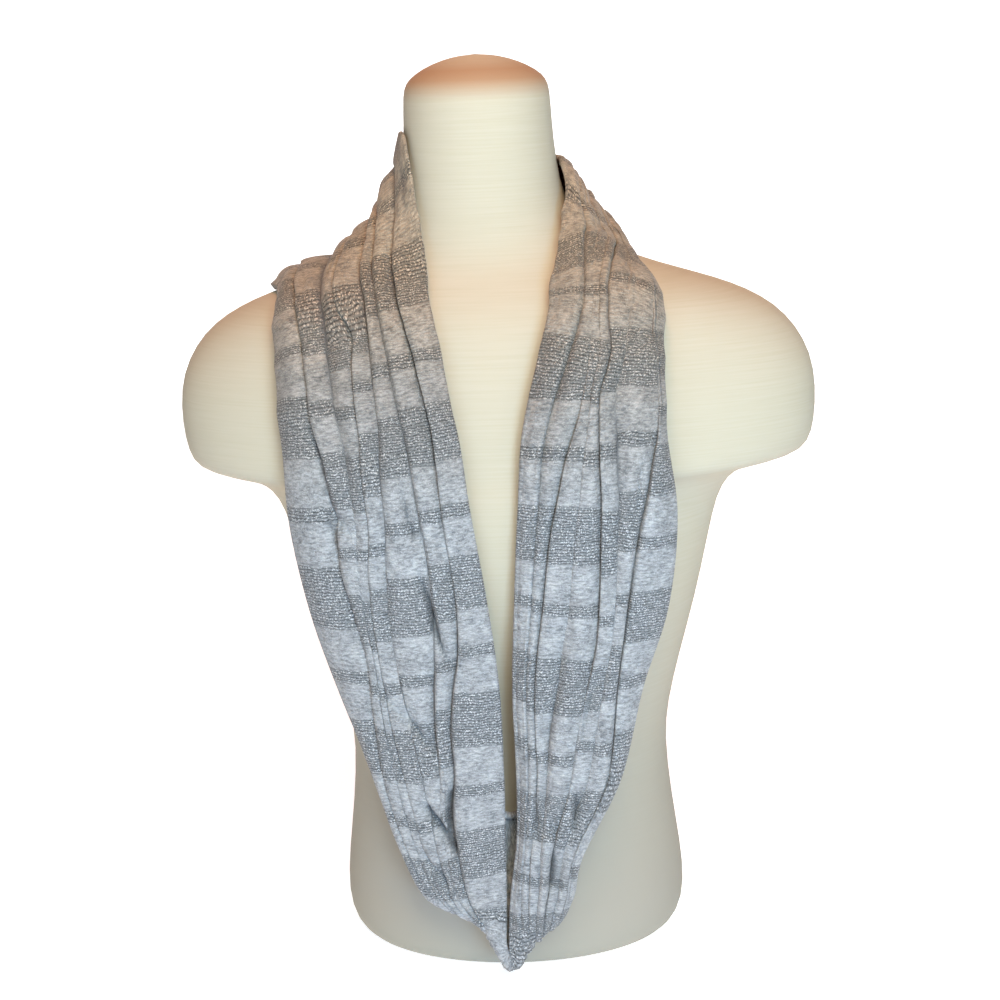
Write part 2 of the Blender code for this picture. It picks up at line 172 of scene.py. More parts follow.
# uncoated paper has no shine, so no lamp is mirrored in it
paper, paper_shader = new_material("white background paper, matte")
paper_shader.inputs["Base Color"].default_value = from_hex("F7F7F7")
paper_shader.inputs["Roughness"].default_value = 0.95
paper_shader.inputs["Specular IOR Level"].default_value = 0.1
paper_shader.inputs["Emission Color"].default_value = from_hex("FFFFFF")
paper_shader.inputs["Emission Strength"].default_value = PAPER_GLOW
paper_sweep.data.materials.append(paper)
bpy.context.scene.view_settings.view_transform = "Standard"
print("paper", tuple(round(side, 2) for side in paper_sweep.dimensions))

# %% [markdown]
# ## The dress form's body
# A display form is a hard foam or fibre shell under a stretched jersey cover: a smooth half torso with capped
# shoulders, a drawn-in waist and a plain neck. It could be carved or lathed. It isn't round, so here one ring
# is drawn at the floor and extruded upwards, and each new ring is moved and resized to the body's width and
# depth at that height.

# %% Rings of the form
FORM_RINGS = (
    # height, half_width, half_depth, side, back: all in mm
    (0.0, 113, 80, 0, 0),
    (3.0, 122, 88, 0, 0),
    (12.0, 131, 94, 0, 0),
    (32.0, 136, 97, 0, 0),
    (66.0, 133.5, 96, 0, 0),
    (109.0, 127, 92, 0, 1),
    (155.0, 123, 89, 0, 2),
    (184.0, 126, 91, 0, 2),
    (225.0, 136, 97, 0, 1),
    (270.0, 149, 103, 0, 0),
    (320.0, 160, 107, 0, 0),
    (352.0, 167, 108, 0, 0),
    (369.0, 177, 108, 0, 0),
    (377.5, 192, 107, 0, 0),
    (381.0, 210, 106.5, 0, 0),
    (384.5, 228, 106, 0, 0),
    (391.0, 237.5, 105.5, 0, 0),
    (407.0, 242, 105, 0, 0),
    (434.0, 243.5, 103, 0, 0),
    (458.0, 240, 100, 0, 1),
    (479.0, 229, 96, 0, 2),
    (495.0, 214, 92, 0, 3),
    (507.0, 194, 87, 0, 4),
    (516.0, 171, 82, -0.5, 5),
    (524.0, 144, 77, -1, 6),
    (533.0, 116, 71, -2, 7),
    (545.0, 90, 65, -3, 7),
    (560.0, 73, 60, -4, 6),
    (580.0, 62.5, 57, -5, 5),
    (608.0, 57, 54.5, -5, 3),
    (640.0, 55, 53, -5, 1),
    (661.0, 54.5, 52.5, -5, 0),
    (668.5, 52, 50, -5, 0),
    (675.0, 45.5, 44, -5, 0),
    (682.0, 32, 31, -5, 0),
    (686.5, 17, 16.5, -5, 0),
)
FORM_TOP = 688.0
FORM_CORNERS = 64
RIM_BEND = math.radians(50)  # a sharper bend than this stays an edge, as at the base
# the band hangs in front, so the form's middle stands a little behind the origin
FORM_SHIFT = form_high.y - max(back + depth for _, _, depth, _, back in FORM_RINGS) * MM
print("the form's middle stands", round(FORM_SHIFT * 1000, 2), "mm behind the origin")

# %% Raise the form ring by ring
form_foot = (0, FORM_SHIFT, 0)
bpy.ops.object.select_all(action="DESELECT")
bpy.ops.mesh.primitive_circle_add(vertices=FORM_CORNERS, radius=1, fill_type="NGON", location=form_foot)
form = bpy.context.object
form.name = "form_body"
bpy.ops.object.transform_apply(location=True)
bpy.ops.object.mode_set(mode="EDIT")
foot_size = (FORM_RINGS[0][1] * MM, FORM_RINGS[0][2] * MM, 1)
bpy.ops.transform.resize(value=foot_size, center_override=form_foot)
for lower, ring in zip(FORM_RINGS, FORM_RINGS[1:]):
    growth = (ring[1] / lower[1], ring[2] / lower[2], 1)
    rise = Vector((ring[3] - lower[3], ring[4] - lower[4], ring[0] - lower[0])) * MM
    middle = (ring[3] * MM, FORM_SHIFT + ring[4] * MM, ring[0] * MM)
    bpy.ops.mesh.extrude_region_move(TRANSFORM_OT_translate={"value": rise})
    bpy.ops.transform.resize(value=growth, center_override=middle)
crown_rise = (0, 0, FORM_TOP * MM - FORM_RINGS[-1][0] * MM)
bpy.ops.mesh.extrude_region_move(TRANSFORM_OT_translate={"value": crown_rise})
bpy.ops.mesh.merge(type="CENTER")
bpy.ops.mesh.select_all(action="SELECT")
bpy.ops.mesh.normals_make_consistent(inside=False)
bpy.ops.object.mode_set(mode="OBJECT")
print("form:", len(form.data.vertices), "corners,", len(form.data.polygons), "faces")

# %% Round the form's rings off
bpy.ops.object.modifier_add(type="SUBSURF")
form.modifiers[-1].levels = form.modifiers[-1].render_levels = 1
bpy.ops.object.modifier_apply(modifier=form.modifiers[-1].name)
bpy.ops.object.shade_smooth()
bpy.ops.object.shade_smooth_by_angle(angle=RIM_BEND)
form_size = tuple(round(side, 4) for side in form.dimensions)
print("form after rounding:", len(form.data.polygons), "faces, size", form_size)

# %% [markdown]
# ## The band before it is gathered
# The real band is one long rectangle of knit whose ends are sewn together. Worn, it lies on the neck and
# shoulders and hangs in front as two strands that meet at the bottom. It could be simulated, but folds that
# fall where they should are given here. A place on the upright oval that it hangs from is a turn round
# the neck, a height, and a lift off the surface. Each row of the table is one cross section of the band.

# %% The oval that the band hangs from
HANG_SURFACE = np.array(
    (
        # height, half_width, half_depth, side, back: all in mm
        (0.0, 243, 109.5, 0, 0),
        (400.0, 243.5, 109.5, 0, 0),
        (440.0, 245, 106.5, 0, 0),
        (470.0, 237, 102.5, 0, 1.5),
        (495.0, 215.5, 96, 0, 3),
        (508.0, 193.5, 90, 0, 4),
        (517.0, 170, 84.5, -0.5, 5),
        (525.0, 144, 79.5, -1, 6),
        (536.0, 116, 74, -2, 7),
        (550.0, 91, 68.5, -3.5, 6.5),
        (570.0, 72, 63, -4.5, 5.5),
        (600.0, 61, 58.5, -5, 3.5),
        (640.0, 57.5, 56, -5, 1),
        (700.0, 57, 55, -5, 0),
    )
)
TURN_STEP, HEIGHT_STEP = 1, 8  # degrees and mm, over which the oval's slopes are measured


def hang_surface(turn, height):
    """Points on the oval: turn is in degrees, 90 at the nape and 270 in front, and height is in mm."""
    half_width, half_depth, side, back = (
        np.interp(height, HANG_SURFACE[:, 0], HANG_SURFACE[:, k]) for k in (1, 2, 3, 4)
    )
    angle = np.radians(turn)
    across, through = side + half_width * np.cos(angle), back + half_depth * np.sin(angle)
    return np.stack([across, through, height], axis=-1) * MM


def hang_point(turn, height, lift):
    """Points off the oval by lift mm, square to it."""
    around = hang_surface(turn + TURN_STEP, height) - hang_surface(turn - TURN_STEP, height)
    upward = hang_surface(turn, height + HEIGHT_STEP) - hang_surface(turn, height - HEIGHT_STEP)
    out = np.cross(around, upward)
    out /= np.linalg.norm(out, axis=-1)[..., None]
    return hang_surface(turn, height) + out * np.asarray(lift)[..., None] * MM


print("the nape of the neck:", hang_point(90.0, 612.0, 6.0))

# %% The band's cross sections
SECTIONS = (
    # name, (edge_turn, edge_height, edge_lift), (middle_turn, middle_height, middle_lift),
    # (outer_turn, outer_height, outer_lift), (hem_turn, hem_height, hem_lift), pleat height in mm
    ("nape", (90, 612, 6), (90, 554, 11), (90, 494, 6), (90, 504, 1), 5),
    ("right_back", (130, 620, 6), (125, 558, 11), (121.5, 496, 6), (121, 506, 1), 5),
    ("right_shoulder_back", (170, 626, 0.8), (160, 570, 8), (152, 513, 5), (151.5, 522, 1.0), 5.5),
    ("right_shoulder", (201, 633, 0.8), (188, 570, 7), (180, 518, 5.5), (178, 527, 1.0), 6),
    ("right_neck_root", (217, 615, 3.0), (206, 562, 10), (201, 518, 7), (201, 521, 0.5), 6.5),
    ("right_collarbone", (240.5, 561, 8), (229, 529, 15), (219.5, 506, 10), (223, 505, 1), 5),
    ("right_upper_chest", (258.6, 506, 9), (243, 488, 17), (230.2, 474, 11), (237, 472, 1.5), 6),
    ("right_chest", (264.1, 438, 9), (248.5, 431, 18), (233, 425, 12), (242, 424, 1.5), 6),
    ("right_ribs", (266.3, 367, 9), (250, 363, 18), (233.6, 360, 12), (244, 362, 3), 6),
    ("right_waist", (268.5, 298, 10), (252.6, 297, 18), (236.7, 296, 12), (248, 302, 3), 6),
    ("right_belly", (269.8, 236, 11), (256, 237, 19), (241.5, 238, 13), (253, 250, 2), 6.5),
    ("right_low", (270.0, 172, 14), (259.4, 172, 21), (247.8, 172, 15), (259, 198, 1), 6.5),
    ("right_lobe", (269.9, 116, 17), (262, 113, 23), (253.2, 112, 17), (263, 160, 0), 6),
    ("right_turn", (269.8, 72, 21), (264.8, 72, 24), (257.6, 77, 17), (267, 142, -2), 5),
    ("right_tip", (269.7, 44, 25), (267.2, 52, 25), (265.6, 69, 16), (269.3, 136, -3), 4.5),
    ("bottom", (270.6, 31, 27), (270.6, 16, 23), (270.8, 86, 8), (271, 133, -4), 3),
    ("left_tip", (270.9, 42, 25), (274.4, 42, 24), (277.8, 56, 14), (272.7, 135, -3), 3.5),
    ("left_turn", (271.6, 78, 20), (276.6, 75, 24), (281.2, 74, 18), (275, 141, -2), 5),
    ("left_lobe", (273.1, 122, 17), (278.4, 115, 23), (283.2, 108, 18), (278, 154, 0), 6),
    ("left_low", (273.5, 172, 14), (282.5, 169, 21), (290.7, 166, 15), (281.5, 190, 1), 6.5),
    ("left_belly", (273.4, 236, 11), (284.4, 235, 19), (295.3, 234, 13), (286, 246, 2), 6.5),
    ("left_waist", (274.2, 298, 10), (287.4, 296, 18), (300.6, 294, 12), (290, 300, 3), 6),
    ("left_ribs", (275.4, 367, 9), (289, 365, 18), (302.6, 362, 12), (291, 364, 3), 6),
    ("left_chest", (277.3, 438, 9), (289, 435, 18), (300.7, 432, 12), (291, 431, 1.5), 6),
    ("left_upper_chest", (283.7, 502, 9), (293.5, 493, 17), (303.8, 485, 11), (297.5, 487, 1.5), 6),
    ("left_collarbone", (295.6, 533, 9), (313, 537, 15), (315.8, 519, 10), (314.5, 519, 1), 5),
    ("left_neck_root", (342, 592.5, 5.5), (336, 568, 13), (338, 540, 8), (339, 543, 1), 4.5),
    ("left_shoulder", (357, 607, 1.5), (357, 573, 11), (360, 545, 7), (360, 549, 1.5), 4.5),
    ("left_shoulder_back", (375, 608, 1.5), (380, 569, 11), (384, 544, 6), (385, 554, 0.8), 5),
    ("left_back", (412, 608, 4), (416, 556, 12), (420, 513, 6), (421, 524, 1), 5),
)
SECTION_COUNT = len(SECTIONS)
SECTION_NUMBERS = np.array([np.concatenate([*row[1:5], row[5:]]) for row in SECTIONS])
LAP = np.array([360.0, 0, 0] * 4 + [0])
PLEAT = 12  # the column of the gathers' height

print(SECTION_COUNT, "cross sections of", SECTION_NUMBERS.shape[1], "numbers")

# %% Curves through the sections
CURVE_STEPS = 160
OUTER_FULLNESS = 0.8  # how near to the outer turn the band still stands at its full height
OUTER_SPAN = 3.5  # the outer turn lies in the middle of the fourth span of the section's curve


def catmull_rom(before, start, end, after, t):
    """A point between start and end, on a smooth curve through all four."""
    return 0.5 * (
        2 * start
        + (end - before) * t
        + (2 * before - 5 * start + 4 * end - after) * t**2
        + (3 * start - before - 3 * end + after) * t**3
    )


def section_row(index):
    """A section's numbers, with turns that keep growing from one lap of the loop to the next."""
    return SECTION_NUMBERS[index % SECTION_COUNT] + (index // SECTION_COUNT) * LAP


def section_numbers(place):
    """The table at any place on the loop, by a Catmull-Rom spline through its rows."""
    index = math.floor(place)
    return catmull_rom(*(section_row(index + k) for k in (-1, 0, 1, 2)), place - index)


def quadratic_b_spline(controls, steps):
    """A quadratic B-spline over rows of control values, from the first to the last, at even parameters."""
    ends = np.vstack([controls[:1], controls, controls[-1:]])
    spans = len(controls)
    place = np.linspace(0, spans, steps + 1)
    index = np.minimum(place.astype(int), spans - 1)
    t = (place - index)[:, None]
    start, middle, end = (ends[index + k] for k in range(3))
    return 0.5 * ((1 - t) ** 2 * start + (1 + 2 * t - 2 * t**2) * middle + t**2 * end)


def distances_along(points):
    """How far each point of a line lies from its first."""
    return np.concatenate([[0], np.cumsum(np.linalg.norm(np.diff(points, axis=0), axis=1))])


def flat_section(place):
    """The ungathered section: fine points, their distance along it, and the outer turn's distance."""
    edge, middle, outer, hem = section_numbers(place)[:PLEAT].reshape(4, 3)
    near_outer = middle + (outer - middle) * OUTER_FULLNESS
    under = np.array([outer[0], outer[1], hem[2]])
    controls = np.array([edge, middle, near_outer, outer, under, hem])
    line = hang_point(*quadratic_b_spline(controls, CURVE_STEPS).T)
    along = distances_along(line)
    return line, along, along[round(CURVE_STEPS * OUTER_SPAN / len(controls))]


def on_line(line, along, wanted):
    """Points at the wanted distances along a line of fine points."""
    return np.stack([np.interp(wanted, along, line[:, k]) for k in range(3)], axis=-1)


widest = max(flat_section(index)[2] for index in range(SECTION_COUNT))
print("the widest section is", round(widest * 1000), "mm from its edge to its outer turn")

# %% [markdown]
# ## Where each row of the cloth lies
# Folds are set in two coordinates: how far along the loop, counted in sections, and the share of the way
# from the neck-side edge to the outer turn. The rows of the mesh are spaced by the length of the band's
# middle, so a first pass measures its length and its width.

# %% Measure the band
BAND_ROWS = 370
ROW_DENSITY = ((0, 2.5, 3.5, 26, 27, 30), (0.5, 0.5, 1.0, 1.0, 0.5, 0.5))  # by place: fewer rows at the back
MEASURES_A_SECTION = 8

measuring_places = np.linspace(0, SECTION_COUNT, SECTION_COUNT * MEASURES_A_SECTION + 1)
middles, widths = [], []
for place in measuring_places:
    line, along, outer = flat_section(place)
    middles.append(on_line(line, along, np.array([outer * 0.5]))[0])
    widths.append(outer)
run = distances_along(middles)
LOOP_LENGTH = run[-1]
wanted_rows = np.diff(run) * np.interp(measuring_places[1:], *ROW_DENSITY)
rows_run = np.concatenate([[0], np.cumsum(wanted_rows)])
row_places = np.interp(np.linspace(0, rows_run[-1], BAND_ROWS + 1)[:-1], rows_run, measuring_places)
print("the loop is", round(LOOP_LENGTH, 3), "m along its middle;", BAND_ROWS, "rows")

# %% [markdown]
# ## The gathers
# Gathered knit falls into layers that lie over one another like slates, with a sharp, dark crease where one
# ends and the next begins. Six creases run all the way round the loop. A table says where they are and how
# deep, row by row, and a spline joins the rows.

# %% The six long creases
LAYER_CREASES = (
    # place on the loop, then share and depth of each of the six creases, from the neck side out
    (0, .140, .8, .280, .7, .420, .9, .560, .8, .700, .9, .850, .7),
    (1.5, .150, .9, .280, .8, .410, .7, .570, .9, .690, .7, .840, .9),
    (2.6, .150, 1, .300, .8, .410, 1, .550, .8, .710, 1, .840, .9),
    (3.63, .182, 1, .345, .9, .410, .9, .550, .8, .720, 1, .860, 1),
    (4.12, .185, 1, .340, .9, .405, .9, .565, .7, .720, 1, .864, 1),
    (4.63, .189, 1, .336, .9, .405, .9, .575, .6, .711, 1, .873, .9),
    (5.18, .194, 1, .328, .9, .405, .9, .575, .5, .668, 1, .820, .9),
    (5.7, .174, 1, .305, .8, .375, .9, .540, .4, .643, 1, .775, 1),
    (6.05, .149, 1, .293, .8, .372, .9, .455, .6, .641, .9, .753, 1),
    (6.4, .130, 1, .290, .8, .388, .8, .485, .8, .643, .9, .753, 1),
    (6.97, .105, 1, .273, .8, .396, .7, .493, .9, .625, .8, .745, 1),
    (7.4, .116, .9, .265, .8, .427, .7, .511, .9, .609, .7, .705, 1),
    (8.03, .130, .6, .252, .7, .440, .7, .512, .8, .595, .3, .675, 1),
    (8.5, .137, .6, .255, .6, .482, .7, .560, .8, .630, .1, .700, .9),
    (9.02, .148, .8, .283, .6, .522, .6, .602, .9, .650, 0, .695, .9),
    (9.6, .193, 1, .326, .7, .548, .4, .635, .9, .668, 0, .700, .8),
    (10, .256, 1, .368, .9, .556, .2, .660, .8, .700, 0, .740, .8),
    (10.5, .315, 1, .415, .8, .570, .1, .690, .6, .745, 0, .800, .8),
    (11, .345, 1, .450, .3, .580, .1, .715, .3, .790, .1, .870, .7),
    (11.5, .425, 1, .510, .1, .610, .3, .730, .1, .820, .1, .910, .5),
    (12.3, .440, 1, .550, .2, .640, .5, .750, .2, .835, .2, .920, .4),
    (13, .420, 1, .530, .4, .630, .6, .730, .3, .820, .2, .910, .3),
    (14.2, .360, 1, .460, .4, .570, .5, .680, .4, .790, .3, .890, .2),
    (15.5, .250, .6, .370, .5, .490, .6, .610, .6, .740, .4, .870, .3),
    (16.7, .160, .4, .300, .6, .430, .6, .555, .9, .700, .6, .840, .3),
    (17.5, .120, .3, .240, .6, .400, .6, .570, 1, .710, .7, .840, .3),
    (18.2, .100, .4, .214, .9, .340, .4, .520, .6, .670, .4, .840, .3),
    (18.95, .090, .4, .198, 1, .275, .8, .500, .4, .655, .3, .850, .4),
    (19.5, .090, .4, .178, 1, .280, .9, .510, .4, .660, .3, .830, .8),
    (20, .085, .4, .158, 1, .326, .8, .550, .6, .670, .2, .790, .9),
    (20.5, .085, .4, .156, 1, .328, .7, .560, .8, .655, .2, .745, 1),
    (21, .090, .4, .170, 1, .340, .3, .536, .9, .630, .2, .717, 1),
    (21.8, .100, .5, .199, 1, .350, .1, .511, .9, .612, .7, .750, 1),
    (22.4, .118, .7, .273, 1, .390, .1, .514, 1, .625, .9, .850, .9),
    (22.8, .140, .8, .345, .8, .430, .1, .518, 1, .635, .9, .925, .5),
    (23.2, .171, .8, .370, .4, .430, .1, .495, .9, .605, .6, .930, .2),
    (23.7, .230, .8, .370, .1, .450, .1, .545, .8, .650, .1, .900, .1),
    (24.1, .264, .8, .345, .1, .410, .1, .485, .9, .660, .1, .870, .2),
    (24.5, .278, .9, .350, .1, .420, .1, .495, 1, .660, 0, .860, 0),
    (25, .285, .9, .380, .1, .500, .1, .600, 1, .760, 0, .890, 0),
    (25.4, .270, .9, .400, .1, .560, .1, .720, 1, .830, 0, .920, 0),
    (26, .200, .9, .360, .2, .520, .2, .780, .9, .870, 0, .940, 0),
    (26.6, .150, .8, .300, .5, .450, .5, .660, .6, .790, .5, .900, .3),
    (27.4, .140, .8, .280, .7, .420, .9, .560, .7, .700, .9, .850, .7),
    (28.6, .140, .9, .270, .8, .430, .7, .560, .9, .710, .7, .850, .8),
)


def layer_row(index):
    """The place of a row of the crease table, and its creases, counted on from lap to lap."""
    row = LAYER_CREASES[index % len(LAYER_CREASES)]
    return row[0] + (index // len(LAYER_CREASES)) * SECTION_COUNT, np.array(row[1:]).reshape(-1, 2)


def layer_creases(place):
    """(share, depth) of the six creases at a place on the loop, by a Hermite spline through the rows."""
    where = place % SECTION_COUNT
    index = int(np.searchsorted([row[0] for row in LAYER_CREASES], where, side="right")) - 1
    (p0, before), (p1, start), (p2, end), (p3, after) = (layer_row(index + k) for k in (-1, 0, 1, 2))
    span = p2 - p1
    leaving = (end - before) / (p2 - p0) * span
    arriving = (after - start) / (p3 - p1) * span
    t = (where - p1) / span
    creases = (
        start * (1 + 2 * t) * (1 - t) ** 2
        + leaving * t * (1 - t) ** 2
        + end * t**2 * (3 - 2 * t)
        - arriving * t**2 * (1 - t)
    )
    creases[:, 1] = np.clip(creases[:, 1], 0, 1)
    return creases


LAYER_COUNT = len(layer_row(0)[1]) + 1
print(LAYER_COUNT, "layers,", LAYER_COUNT - 1, "creases between them")

# %% How one layer is shaped
LAYER_STEPS = 15  # spans across one layer
GATHER_GAIN = 1.25  # how much higher than the table's pleat height the gathers stand
FULL_CREST_WIDTH = 10 * MM  # a narrower layer is nearer to a plain wave
FULL_LAYER_WIDTH = 9 * MM  # a crease beside a narrower layer is shallower in proportion
SHALLOWEST = 0.25  # but keeps this share of its depth
LAYERS = (
    # crest height as a share of the gathers' height, then for the wearer's right and left strand: how far the
    # crest leans over its outer neighbour for each mm of height, and where across the layer the crest is
    (0.95, (0.50, 0.75), (0.35, 0.65)),
    (0.90, (0.30, 0.62), (0.00, 0.45)),
    (0.85, (0.20, 0.60), (-0.55, 0.30)),
    (1.00, (0.50, 0.72), (0.00, 0.45)),
    (0.85, (-0.20, 0.40), (-0.50, 0.32)),
    (1.00, (0.60, 0.75), (0.10, 0.50)),
    (0.95, (0.00, 0.45), (-0.60, 0.25)),
)
LIP_FULLNESS = 0.92  # 0 is a plain wave, near 1 is a blunt lip over a pinched crease
SLOPE_FULLNESS = 0.45  # of the long side that climbs out of the crease
PLAIN_SHARE, LIP_SHARE = 0.6, 0.3  # a side this wide is a slope, and one this narrow a lip
EDGE_LEVEL = 0.4  # how high the rolled edge stands, as a share of the gathers' height
OUTER_LEVEL = 0.2  # and the outer turn
NECK_PULL = ((1.0, 2.3, 4.3, 5.3), (1.0, 0.2, 0.3, 1.0))  # by place: beside the neck the first layer is flat
STRANDS = ((0, 3, 13, 17, 26, 30), (0.5, 0, 0, 1, 1, 0.5))  # by place: 0 is the right strand and 1 the left


def strand_side(place):
    """0 on the wearer's right strand and 1 on the left, and between the two at the bottom and the nape."""
    return 0.5 - 0.5 * math.cos(np.interp(place % SECTION_COUNT, *STRANDS) * math.pi)


def side_fullness(share):
    """How blunt one side of a crest is: a short side is a lip, and a long one a gentle slope."""
    return np.interp(share, (LIP_SHARE, PLAIN_SHARE), (LIP_FULLNESS, SLOPE_FULLNESS))


def layered_profile(place, length, pleat):
    """Distance along the section, height, and sideways lean, from the rolled edge to the outer turn."""
    shares, depths = layer_creases(place).T
    stops = np.concatenate([[0], shares, [1]]) * length
    narrower = np.minimum(np.diff(stops)[:-1], np.diff(stops)[1:])
    depths = depths * np.clip(narrower / FULL_LAYER_WIDTH, SHALLOWEST, 1)
    pull = np.interp(place % SECTION_COUNT, *NECK_PULL)
    levels = np.concatenate([[EDGE_LEVEL * pull], 1 - depths, [OUTER_LEVEL]])
    distances, heights, leans = [], [], []
    leftness = strand_side(place)
    for number, (crest, *strands) in enumerate(LAYERS):
        lean, top = (right + (left - right) * leftness for right, left in zip(*strands))
        width = stops[number + 1] - stops[number]
        calm = min(1, width / FULL_CREST_WIDTH)
        top = 0.5 + (top - 0.5) * calm
        wave = np.linspace(-math.pi, math.pi, LAYER_STEPS + 1)[(number > 0) :]
        fullness = np.where(wave < 0, side_fullness(top), side_fullness(1 - top)) * calm
        climb = (wave + fullness * np.sin(wave)) / math.pi
        across = np.where(wave < 0, top * (1 + climb), top + (1 - top) * climb)
        rise = (1 + np.cos(wave)) / 2
        foot = crest * np.where(wave < 0, levels[number], levels[number + 1])
        if number == 0:
            crest = max(foot.min(), crest * pull)
        height = (foot + (crest - foot) * rise) * pleat * MM * GATHER_GAIN
        distances.append(stops[number] + width * across)
        heights.append(height)
        leans.append(lean * rise * (height - foot * pleat * MM * GATHER_GAIN))
    return np.concatenate(distances), np.concatenate(heights), np.concatenate(leans)


CHEST = 7.0  # its place on the loop
trial = layered_profile(CHEST, flat_section(CHEST)[2], section_numbers(CHEST)[PLEAT])
print("a chest section has", len(trial[0]), "points and gathers", round(trial[1].max() * 1000, 1), "mm high")

# %% [markdown]
# ## Shorter folds
# Between the long creases the cloth also buckles in short, uneven folds: bends where it turns, pockets near
# the bottom, and a soft line where the rolled hem lies against the next layer. Each is a line on the cloth
# with its own widths and depths.

# %% The short folds
SHORT_FOLDS = (
    # name, width in mm on the neck side and on the outer side, points of (place, share, depth in mm)
    ("right_inner_fine", 1.5, 2.5, (
        (5.2, .206, 0), (5.66, .206, 1.5), (6.41, .210, 1.8), (6.97, .196, 1.8), (7.56, .197, 1.8),
        (8.03, .189, 1.8), (8.56, .200, 1.5), (8.98, .221, 1.5), (9.34, .247, 1.0), (9.7, .26, 0))),
    ("right_hem_line", 1.5, 2.5, (
        (3.2, .07, 0), (4.04, .073, 1), (5, .078, 1.4), (6.01, .065, 1.4), (7.03, .051, 1.4),
        (8.03, .072, 1.4), (8.40, .059, 1.4), (9.02, .039, 1), (9.58, .042, 1), (10.5, .05, 1),
        (11.6, .06, .8), (12.5, .06, 0))),
    ("right_lobe_bend_left", 2.4, 5.0, (
        (11.26, .62, 0), (11.36, .60, 7), (11.58, .53, 9), (11.74, .475, 10), (11.9, .437, 8))),
    ("right_lobe_bend_right", 4.0, 2.4, (
        (11.1, .39, 0), (11.25, .405, 7), (11.55, .45, 9), (11.74, .475, 10))),
    ("right_ribs_pocket", 2.6, 3.5, (
        (8.9, .29, 0), (9.0, .28, 7), (9.3, .265, 9), (9.55, .25, 6), (9.75, .24, 0))),
    ("right_ribs_short", 1.8, 2.4, ((8.45, .31, 0), (8.7, .305, 5), (8.95, .285, 6), (9.1, .28, 0))),
    ("right_belly_short", 1.6, 2.4, ((9.3, .15, 0), (9.55, .155, 4), (9.95, .165, 4), (10.3, .17, 0))),
    ("right_chest_short", 1.6, 2.4, ((7.6, .31, 0), (7.8, .315, 4), (8.1, .30, 5), (8.3, .29, 0))),
    ("right_edge_short", 1.2, 1.8, ((8.2, .10, 0), (8.4, .095, 2.5), (8.75, .10, 2.5), (9.0, .11, 0))),
    ("right_fan_upper", 3.5, 2.0, (
        (6.9, .81, 0), (7.2, .77, 5), (7.7, .70, 6), (8.0, .65, 6), (8.25, .61, 0))),
    ("right_fan_lower", 3.0, 1.8, ((7.3, .86, 0), (7.7, .79, 4), (8.2, .72, 5), (8.5, .70, 0))),
    ("right_waist_slant", 4.5, 2.0, ((10.1, .64, 0), (10.3, .57, 5), (10.55, .50, 6), (10.75, .44, 0))),
    ("right_belly_slant", 4.0, 2.0, ((9.8, .71, 0), (10.1, .64, 4), (10.3, .60, 4.5), (10.5, .58, 0))),
    ("right_lobe_outer", 3.5, 2.0, ((11.8, .82, 0), (12.1, .74, 4), (12.4, .66, 5), (12.7, .60, 0))),
    ("right_shoulder_short", 1.8, 2.6, ((4.5, .63, 0), (4.75, .635, 3), (5.0, .64, 3), (5.2, .64, 0))),
    ("right_shoulder_fan", 1.5, 2.0, ((4.3, .79, 0), (4.6, .795, 3), (5.1, .76, 3), (5.5, .72, 0))),
    ("left_pocket", 3.0, 4.0, (
        (17.2, .61, 0), (17.45, .59, 8), (17.7, .575, 10), (17.95, .56, 7), (18.15, .55, 0))),
    ("left_low_slant", 3.5, 2.0, ((17.8, .31, 0), (18.2, .27, 5), (18.5, .235, 6), (18.75, .21, 0))),
    ("left_lobe_slant", 2.0, 4.0, ((18.2, .72, 0), (18.5, .66, 5), (18.75, .60, 6), (18.98, .54, 0))),
    ("left_waist_slant", 2.0, 3.5, ((19.2, .61, 0), (19.6, .57, 4.5), (20.0, .60, 4.5), (20.35, .62, 0))),
    ("left_chest_slant", 2.0, 3.0, ((21.8, .69, 0), (22.1, .72, 5), (22.4, .76, 5), (22.7, .81, 0))),
    ("left_collar_soft", 3.0, 3.0, ((24.2, .75, 0), (24.5, .72, 1.5), (24.9, .70, 1.5), (25.3, .72, 0))),
    ("left_hem_line", 1.5, 2.5, (
        (24.4, .14, 0), (23.9, .13, 1), (23.2, .11, 1.2), (22.44, .06, 1.2), (21.66, .05, 1),
        (20.5, .045, .8), (19, .045, .8), (17.6, .05, 0))),
    ("left_third_fine", 1.5, 2.0, ((18.9, .378, 0), (19.22, .378, 1.5), (19.63, .382, 1.5), (20.1, .378, 0))),
    ("left_low_short", 2.5, 3.5, ((18.62, .385, 0), (18.41, .412, 5), (18.27, .471, 5), (18.2, .52, 0))),
)

print(len(SHORT_FOLDS), "short folds")

# %% Press the short folds in
FOLD_REACH_MM = 25.0  # a fold isn't felt further along the loop than this
FOLD_BLUNTNESS = 1.5  # 1 is a sharp valley and 2 a round one
TINY = 1e-9  # keeps a stretch of no length from dividing by nought


def smooth_line(points, steps=6):
    """A Catmull-Rom curve through a list of points."""
    points = np.array(points, dtype=float)
    ends = np.vstack([2 * points[0] - points[1], points, 2 * points[-1] - points[-2]])
    spans = range(len(points) - 1)
    made = [catmull_rom(*ends[k : k + 4], t) for k in spans for t in np.arange(steps) / steps]
    return np.array([*made, points[-1]])


def to_cloth_mm(place, share):
    """A place and a share as distances in mm along the loop and across the band."""
    lap = np.floor(place / SECTION_COUNT)
    within = place - lap * SECTION_COUNT
    along_mm = (np.interp(within, measuring_places, run) + lap * LOOP_LENGTH) / MM
    return along_mm, share * np.interp(within, measuring_places, widths) / MM


